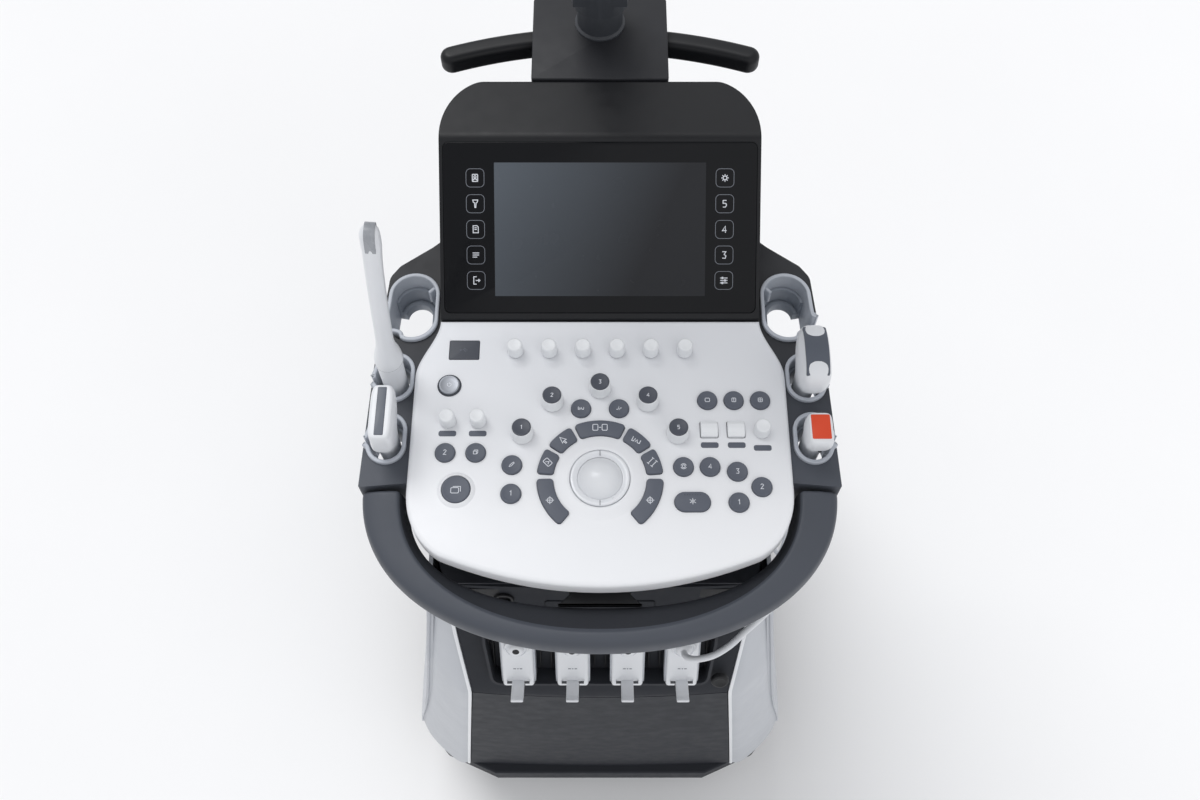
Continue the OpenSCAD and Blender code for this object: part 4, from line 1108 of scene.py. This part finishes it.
def add_convex():
    body, spot = "probe_convex", probe_spot(1, 1)
    rings = [oval(*v) for v in (
        (0, 0, 6.6, 7.6, 762.4), (0, 0, 8.4, 10.8, 776), (0, 0, 9.8, 13.8, 790), (0, 0, 10.8, 15.6, 820),
        (0, -0.3, 11.2, 17, 842, 2.2), (-0.5, -2, 12.2, 22, 857, 2.6), (-1.1, -4, 13.4, 27.6, 870, 3),
        (-1.7, -6, 14.6, 31.4, 882, 3.4), (-2, -7.4, 15.2, 32.6, 893, 3.8), (-2, -8, 15.2, 32.6, 901, 4),
        (-2, -8, 14.8, 32, 907, 4), (-2, -8, 13.8, 30, 911.5, 4), (-2, -8, 12.6, 26, 915.5, 4),
        (-2, -8, 11.2, 20, 918, 3.6), (-2, -8, 8, 12, 919.4, 3))]
    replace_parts(loft("probe_convex_body", refine(rings, 4), body, PROBE, spot), "probe_convex")
    curved_patch("convex_lens", 22.5, 53, 2, body, LENS, spot @ Matrix.Translation((-2.2, -8, 920.4)),
                 6.5, 6)


def add_phased():
    body, spot = "probe_phased", probe_spot(2, 1)
    rings = [oval(*v) for v in (
        (0, 0, 6.6, 7.6, 786.4), (0, 0, 8.8, 10.4, 794), (0, 0, 10.2, 12.4, 806), (0, 0, 10.8, 13.6, 830),
        (0, -1, 11, 14.2, 846, 2.3), (-0.5, -4, 11.6, 15.6, 857, 3), (-1.2, -7.4, 12.3, 16.8, 867, 4),
        (-1.7, -10, 12.6, 17.4, 877, 5), (-2, -11.6, 12.6, 17.4, 885, 5), (-2, -12, 12.2, 17, 890, 5),
        (-2, -12, 11.2, 16, 893.4, 5), (-2, -12, 10, 14.8, 894.6, 5), (-2, -12, 8.6, 13.4, 894.7, 5))]
    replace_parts(loft("probe_phased_body", refine(rings, 4), body, PROBE, spot), "probe_phased")
    prism("phased_lens", rect(18.2, 25.5, 1.2), 892, 895.4, body, LENS_RED, 0.7, 0,
          spot @ Matrix.Translation((-2, -11, 0)))
    # A near-black plate on the probe stands for its slot: painted shade
    lean = Matrix.Translation((4.2, -14.3, 846)) @ Matrix.Rotation(math.radians(72), 4, "X")
    prism("phased_slot", rect(3.2, 7, 1.2), -1.6, 0.4, body, DEEP, 0.3, 0, spot @ lean
          @ Matrix.Rotation(0.45, 4, "Z"))


# ------------------------------------------------------------------ upper front face, ports, connectors
def upright_sheet(name, rows, thick, body, material, angle=35):
    """A wall from rows of (x, y, z) points, given a thickness towards +Y."""
    count = len(rows[0])
    front = [p for row in rows for p in row]
    back = [(x, y + thick, z) for x, y, z in front]
    faces, n = [], len(front)
    for k in range(len(rows) - 1):
        for i in range(count - 1):
            a = k * count + i
            faces += [(a, a + 1, a + count + 1, a + count), (n + a, n + a + count, n + a + count + 1,
                                                              n + a + 1)]
    rim = list(range(count)) + [k * count + count - 1 for k in range(1, len(rows))]
    rim += [len(front) - 2 - i for i in range(count - 1)]
    rim += [k * count for k in range(len(rows) - 2, 0, -1)]
    faces += [(a, b, n + b, n + a) for a, b in zip(rim, rim[1:] + rim[:1])]
    return make(name, front + back, faces, body, material, angle=angle)


def width_at(z):
    return float(np.interp(z, [150, 200, 400, 600, 690, 765], [189, 184, 163, 142, 152, 156]))


def front_at(z):
    return float(np.interp(z, [150, 400, 600, 700, 765], [-345, -342, -336, -284, -263]))


def front_rows(z_list, spare=0.6, bow=4.0, steps=24, seam=598):
    """Rows of points over the front face; near the seam they sag towards the middle."""
    rows = []
    for z in z_list:
        w, sag = width_at(z) - spare, 7 * math.exp(-((z - seam) / 45) ** 2)
        row = []
        for i in range(steps + 1):
            t = 2 * i / steps - 1
            level = z - sag * (1 - t * t)
            row.append((w * t, front_at(level) - bow * (1 - t * t), level))
        rows.append(row)
    return rows


def add_front():
    lower = upright_sheet("front_lower", front_rows([150 + 447 * i / 20 for i in range(21)]), 5, "root",
                          FRONT)
    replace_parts(lower, "front_panel_lower")
    upper = upright_sheet("front_upper", front_rows([706.5 + 58.5 * i / 8 for i in range(9)]), 5, "root",
                          FRONT)
    hatch = prism("cutter", rect(113, 22, 3.4), -20, 20, None, DEEP, 0, 0, FACE)
    ring = lathe("cutter", [(0, -20), (10.4, -20), (10.4, 20), (0, 20)], None, DEEP, (-98, 12, 0),
                 place=FACE)
    upper = combine(combine(upper, hatch), ring)
    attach(upper, "root")
    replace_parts(upper, "front_panel_upper")
    cover = prism("hatch_cover", rect(112, 21, 3), -1.5, 4.5, "disc_drawer", FRONT, 0.7, 0.2, FACE)
    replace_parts(cover, "disc_drawer")
    box = prism("hatch_drawer", rect(106, 13, 1), -111, -1, "disc_drawer", STEEL, 0.5, 0.5, FACE)
    tray = prism("cutter", rect(100, 13, 1), -108, -3, None, DEEP, 0, 0,
                 FACE @ Matrix.Translation((0, 4, 0)))
    box = combine(box, tray)
    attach(box, "disc_drawer")
    port = [(0, -1.5), (7.4, -1.5), (7.4, 4.6), (8, 5.4), (9.4, 5.4), (10, 4.8), (10.2, -3), (0, -3)]
    lathe("ring_port", port, "root", DEEP, (-98, 12, 0), place=FACE, steps=48)
    for i, kind in enumerate(("plug", "span", "target")):
        mark(f"port_mark_{i + 1}", kind, 2.4, (-128 + 8.5 * i, 12, 1.4), "root", PRINT_SOFT, 0.5, 0.3,
             place=FACE)
    # Near-black patches where the face has its two recesses: painted shade
    for s in SIDES:
        recess = soften([(52, 14), (146, 14), (146, 29), (52, 29)], [0, 7, 2, 2], 6)
        outline = [(s * x, y) for x, y in recess]
        prism(f"face_recess_{'lr'[s > 0]}", outline, -1.5, 2.2, "root", DEEP, 0.4, 0, FACE)
    arch = [(-48, -13), (-44, -11), (-33, -2), (-20, 7), (-8, 10.5), (0, 11), (8, 10.5), (20, 7), (33, -2),
            (44, -11), (48, -13)]
    smooth = [tuple(p[:2]) for p in smooth_route([(*p, 0) for p in arch], 5)]
    piece = prism("paddle_arch", smooth, 808, 817, "release_paddle", DEEP, 1.5, 1.0,
                  Matrix.Translation((0, CONSOLE_Y - 187, 0)) @ Matrix.Diagonal((0.84, 1, 1, 1)))
    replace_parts(piece, "release_paddle")
    prism("paddle_arm", rect(60, 46, 3), 810, 816, "release_paddle", DEEP, 1, 1,
          Matrix.Translation((0, CONSOLE_Y - 168, 0)))


def add_ports():
    """The sloping face with the recess that holds the four connectors."""
    rows = front_rows([598.8 + 107 * i / 14 for i in range(15)], 0.6, 4.0)
    face = upright_sheet("port_face", rows, 6, "root", FRONT)
    pocket = [(-118, -36), (118, -36), (124, 30), (124, 48), (-124, 48), (-124, 30)]
    outer = soften(pocket, [16, 16, 10, 4, 4, 10], 8)
    cutter = prism("cutter", outer, -60, 40, None, DEEP, 0, 0, PORT)
    face = combine(face, cutter)
    bevel(face, 1.5, 3)
    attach(face, "root")
    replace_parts(face, "port_bezel")
    wall = ((-27, 0.3), (-1.5, 0.3), (-1.5, 3.3), (-24, 3.3))
    loft("port_pocket", [[(*p, z) for p in inset(outer, g)] for z, g in wall], "root", POCKET_GREY_AND_HANDLE_SHADE, PORT)
    for i in range(5):
        for j, dx in enumerate((-6, 6)):
            x = PORT_PITCH * (i - 2) + dx * (1 if 0 < i < 4 else 0.4)
            prism(f"port_rib_{i + 1}{'ab'[j]}", rect(1.6, 60, 0.6), -24.5, -17, "root", DEEP, 0.4, 0,
                  PORT @ Matrix.Translation((x, 6, 0)))
    knob = [(0, -2), (9.5, -2), (9.5, 2.0), (8.6, 3.4), (6.8, 4), (5.2, 3.2), (0, 2.6)]
    lathe("half_knob", knob, "root", DEEP, (130, -30, -4.5), place=PORT, steps=40)
    for i in range(4):
        x = PORT_PITCH * (i - 1.5)
        socket = prism(f"port_socket_{i + 1}", rect(29, 70, 3), -52, -25, "root", ZINC, 0.5, 0.5,
                       PORT @ Matrix.Translation((x, 0, 0)))
        if i == 0:
            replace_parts(socket, "port_sockets")


def add_connectors():
    for i in range(4):
        spot = PORT @ Matrix.Translation((PORT_PITCH * (i - 1.5), 0, 0))
        side = soften([(-43.5, -22), (44, -22), (44, -0.5), (20, 0.2), (12, 0.5), (-22, 0.5), (-34, -0.6),
                       (-43.5, -8)], [3, 3, 3, 5, 5, 6, 6, 4], 6)
        block = prism(f"connector_{i + 1}", side, -17, 17, None, PROBE, 3.2, 3.2, spot @ UPRIGHT, steps=6)
        seat = prism("cutter", disc((12.5, 7.2), 40, (0, -25)), -1.6, 12, None, DEEP, 0, 0, spot)
        block = combine(block, seat)
        slot = prism("cutter", rect(13.9, 30, 1), -3, 12, None, DEEP, 0, 0,
                     spot @ Matrix.Translation((0, -34, 0)))
        block = combine(block, slot)
        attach(block, "root")
        if i == 0:
            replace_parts(block, "connectors")
        # The wing shows at the block's sides in the darker copy of the white as painted shade
        wing = soften([(-42, -21), (43, -21), (43, -3), (-36, -5), (-42, -10)], [2, 2, 3, 4, 3], 5)
        prism(f"connector_wing_{i + 1}", wing, -18.6, 18.6, "root", CONNECTOR_SIDE, 1.5, 1.5,
              spot @ UPRIGHT, steps=5)
        collar = [(0, -1), (13.2, -1), (13.2, 2.6), (12.4, 4.2), (11.2, 4.6), (10.6, 3.8), (10.2, 3.2),
                  (8.8, 3.4), (8.2, 6.2), (7.2, 7.8), (5.2, 9), (0, 9)]
        lathe(f"connector_collar_{i + 1}", collar, "root", PROBE, (0, 30, 1), place=spot, steps=56)
        # A near-black disc on the collar's top stands for its hole: painted shade
        if i < 3:
            lathe(f"collar_hole_{i + 1}", [(0, 0), (3.6, 0), (3.6, 0.5), (0, 0.4)], "root", DEEP,
                  (0, 31, 9.8), place=spot, steps=28)
        dashes = [line((-1.6, 0), (-0.6, 0)), line((-0.2, 0), (0.3, 0)), line((0.7, 0), (1.6, 0))]
        mark(f"connector_mark_{i + 1}", dashes, 3, (0, -6, 0.52), "root", PRINT_SOFT, 1.2, 0.12,
             place=spot)
        pin = [(0, -12), (1.4, -12), (1.4, 12), (0, 12)]
        pivot = spot @ Matrix.Translation((0, -25, 3))
        lathe(f"lever_pin_{i + 1}", pin, "connector_levers", STEEL,
              place=pivot @ Matrix.Rotation(math.pi / 2, 4, "Y"), steps=20)
        tab = soften([(-2.2, -2), (2.6, -2), (3.2, 5), (2.6, 20), (3.6, 27), (0.4, 27.6), (-1.8, 20),
                      (-2.6, 6)], [1.5, 1.5, 3, 4, 1.4, 1.4, 3, 3], 5)
        lever = prism(f"connector_lever_{i + 1}", tab, -6.6, 6.6, "connector_levers", PROBE, 1.1, 1.1,
                      pivot @ UPRIGHT, steps=5)
        if i == 0:
            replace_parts(lever, "connector_levers")


# ------------------------------------------------------------------ side covers
def side_at(z):
    return float(np.interp(z, [150, 200, 300, 400, 500, 600, 690, 765],
                           [266, 258, 239, 222, 207, 193, 181, 174]))


def rear_at(z):
    return float(np.interp(z, [150, 400, 600, 765], [318, 255, 220, 200]))


def side_line(z, drop=0.0):
    """Plan of a side cover at one height, from its front edge round to its rear edge."""
    d, f, r = width_at(z) + 0.35, front_at(z), rear_at(z)
    w = side_at(z) - d
    line_ = [(d, f), (d + 0.25 * w, f + 0.04 * w), (d + 0.7 * w, f + 0.42 * w),
             (d + 0.92 * w, f + 0.75 * w), (d + w, f + 1.15 * w), (d + w, (f + r) / 2),
             (d + w, r - 40), (d + w - 12, r - 12), (d + w - 40, r), (d - 30, r)]
    line_ = [tuple(p[:2]) for p in smooth_route([(*p, 0) for p in line_], 5)]
    return [(x, y, z) for x, y in (beside(line_, -drop) if drop else line_)]


def add_sides():
    zs = [150.2 + (764.6 - 150.2) * i / 30 for i in range(31)]
    for s, node in ((1, "side_panel_right"), (-1, "side_panel_left")):
        outer, inner = [side_line(z) for z in zs], [side_line(z, 4.2) for z in zs]
        rings = [[(s * x, y, z) for x, y, z in a + b[::-1]] for a, b in zip(outer, inner)]
        count = len(rings[0])
        points = [p for ring in rings for p in ring]
        faces = [(k * count + i, k * count + (i + 1) % count, (k + 1) * count + (i + 1) % count,
                  (k + 1) * count + i) for k in range(len(rings) - 1) for i in range(count)]
        for base in (0, (len(rings) - 1) * count):
            faces += [(base + i, base + i + 1, base + count - 2 - i, base + count - 1 - i)
                      for i in range(count // 2 - 1)]
        cover = make(f"{node}_cover", points, faces, "root", SHELL, angle=40)
        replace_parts(cover, node)
        # A thin bright strip along the cover's front edge, a painted highlight
        painted_highlight = []
        for z in zs:
            a, b = side_line(z)[0], side_line(z)[2]
            out = Vector((b[0] - a[0], b[1] - a[1])).normalized()
            side = Vector((out.y, -out.x))
            path = [Vector(a[:2]) + side * 1.0, Vector(a[:2]) + out * 1.6 + side * 1.5,
                    Vector(a[:2]) + out * 3.6 + side * 1.0, Vector(a[:2]) + out * 4.2 - side * 1.0,
                    Vector(a[:2]) + out * 0.2 - side * 1.2]
            painted_highlight.append([(s * p.x, p.y, z) for p in path])
        loft(f"{node}_trim", painted_highlight, "root", EDGE_HIGHLIGHT_WHITE, angle=50)


add_endocavity()
add_linear()
add_convex()
add_phased()
add_front()
add_ports()
add_connectors()
add_sides()


# ------------------------------------------------------------------ carried-over nodes
def add_body():
    for node, material, edge in (
            ("base_frame", STEEL, 0), ("base_cover", FRONT, 3), ("rear_cover", FRONT, 0),
            ("top_deck", FRONT, 0), ("electronics_rack", STEEL, 0), ("lift_guide", ALUMINIUM, 0),
            ("lift_post", ALUMINIUM, 0), ("arm_lower", ARM, 2), ("arm_upper", ARM, 2),
            ("monitor_yoke", ARM, 1.5), ("monitor_shell", BLACK, 2), ("monitor_screen", SCREEN, 0.5)):
        dress(node, material, edge)
    for corner in ("fl", "fr", "rl", "rr"):
        dress(f"caster_fork_{corner}", ZINC, 0.8)
        dress(f"caster_wheel_{corner}", TYRE, 0.8)


add_body()


# ------------------------------------------------------------------ stage
def add_stage():
    s = Shader("floor_pale")
    s.join(s.mix(s.remap(s.noise(1.5), 0, 1), linear("#f1f1f1"), linear("#f3f3f3")), "Base Color")
    s.join(s.remap(s.noise(20), 0.85, 0.95), "Roughness")
    s.bsdf.inputs["Specular IOR Level"].default_value = 0.1
    half = 9000
    floor = make("floor", [(-half, -half, 0), (half, -half, 0), (half, half, 0), (-half, half, 0)],
                 [(0, 1, 2, 3)], None, s.material)
    world = bpy.data.worlds.new("studio")
    bpy.context.scene.world = world
    world.use_nodes = True
    world.node_tree.nodes["Background"].inputs["Color"].default_value = (0.96, 0.97, 1, 1)
    world.node_tree.nodes["Background"].inputs["Strength"].default_value = 0.68
    suns = (("key", (0.35, -0.5, -1), 1.35, 35), ("fill", (-0.6, 0.9, -1), 0.35, 60))
    for name, aim, power, spread in suns:
        data = bpy.data.lights.new(name, "SUN")
        data.energy, data.angle = power, math.radians(spread)
        lamp = bpy.data.objects.new(name, data)
        lamp.rotation_euler = Vector(aim).to_track_quat("-Z", "Y").to_euler()
        bpy.context.scene.collection.objects.link(lamp)
    bpy.context.scene.view_settings.view_transform = "Standard"


add_stage()
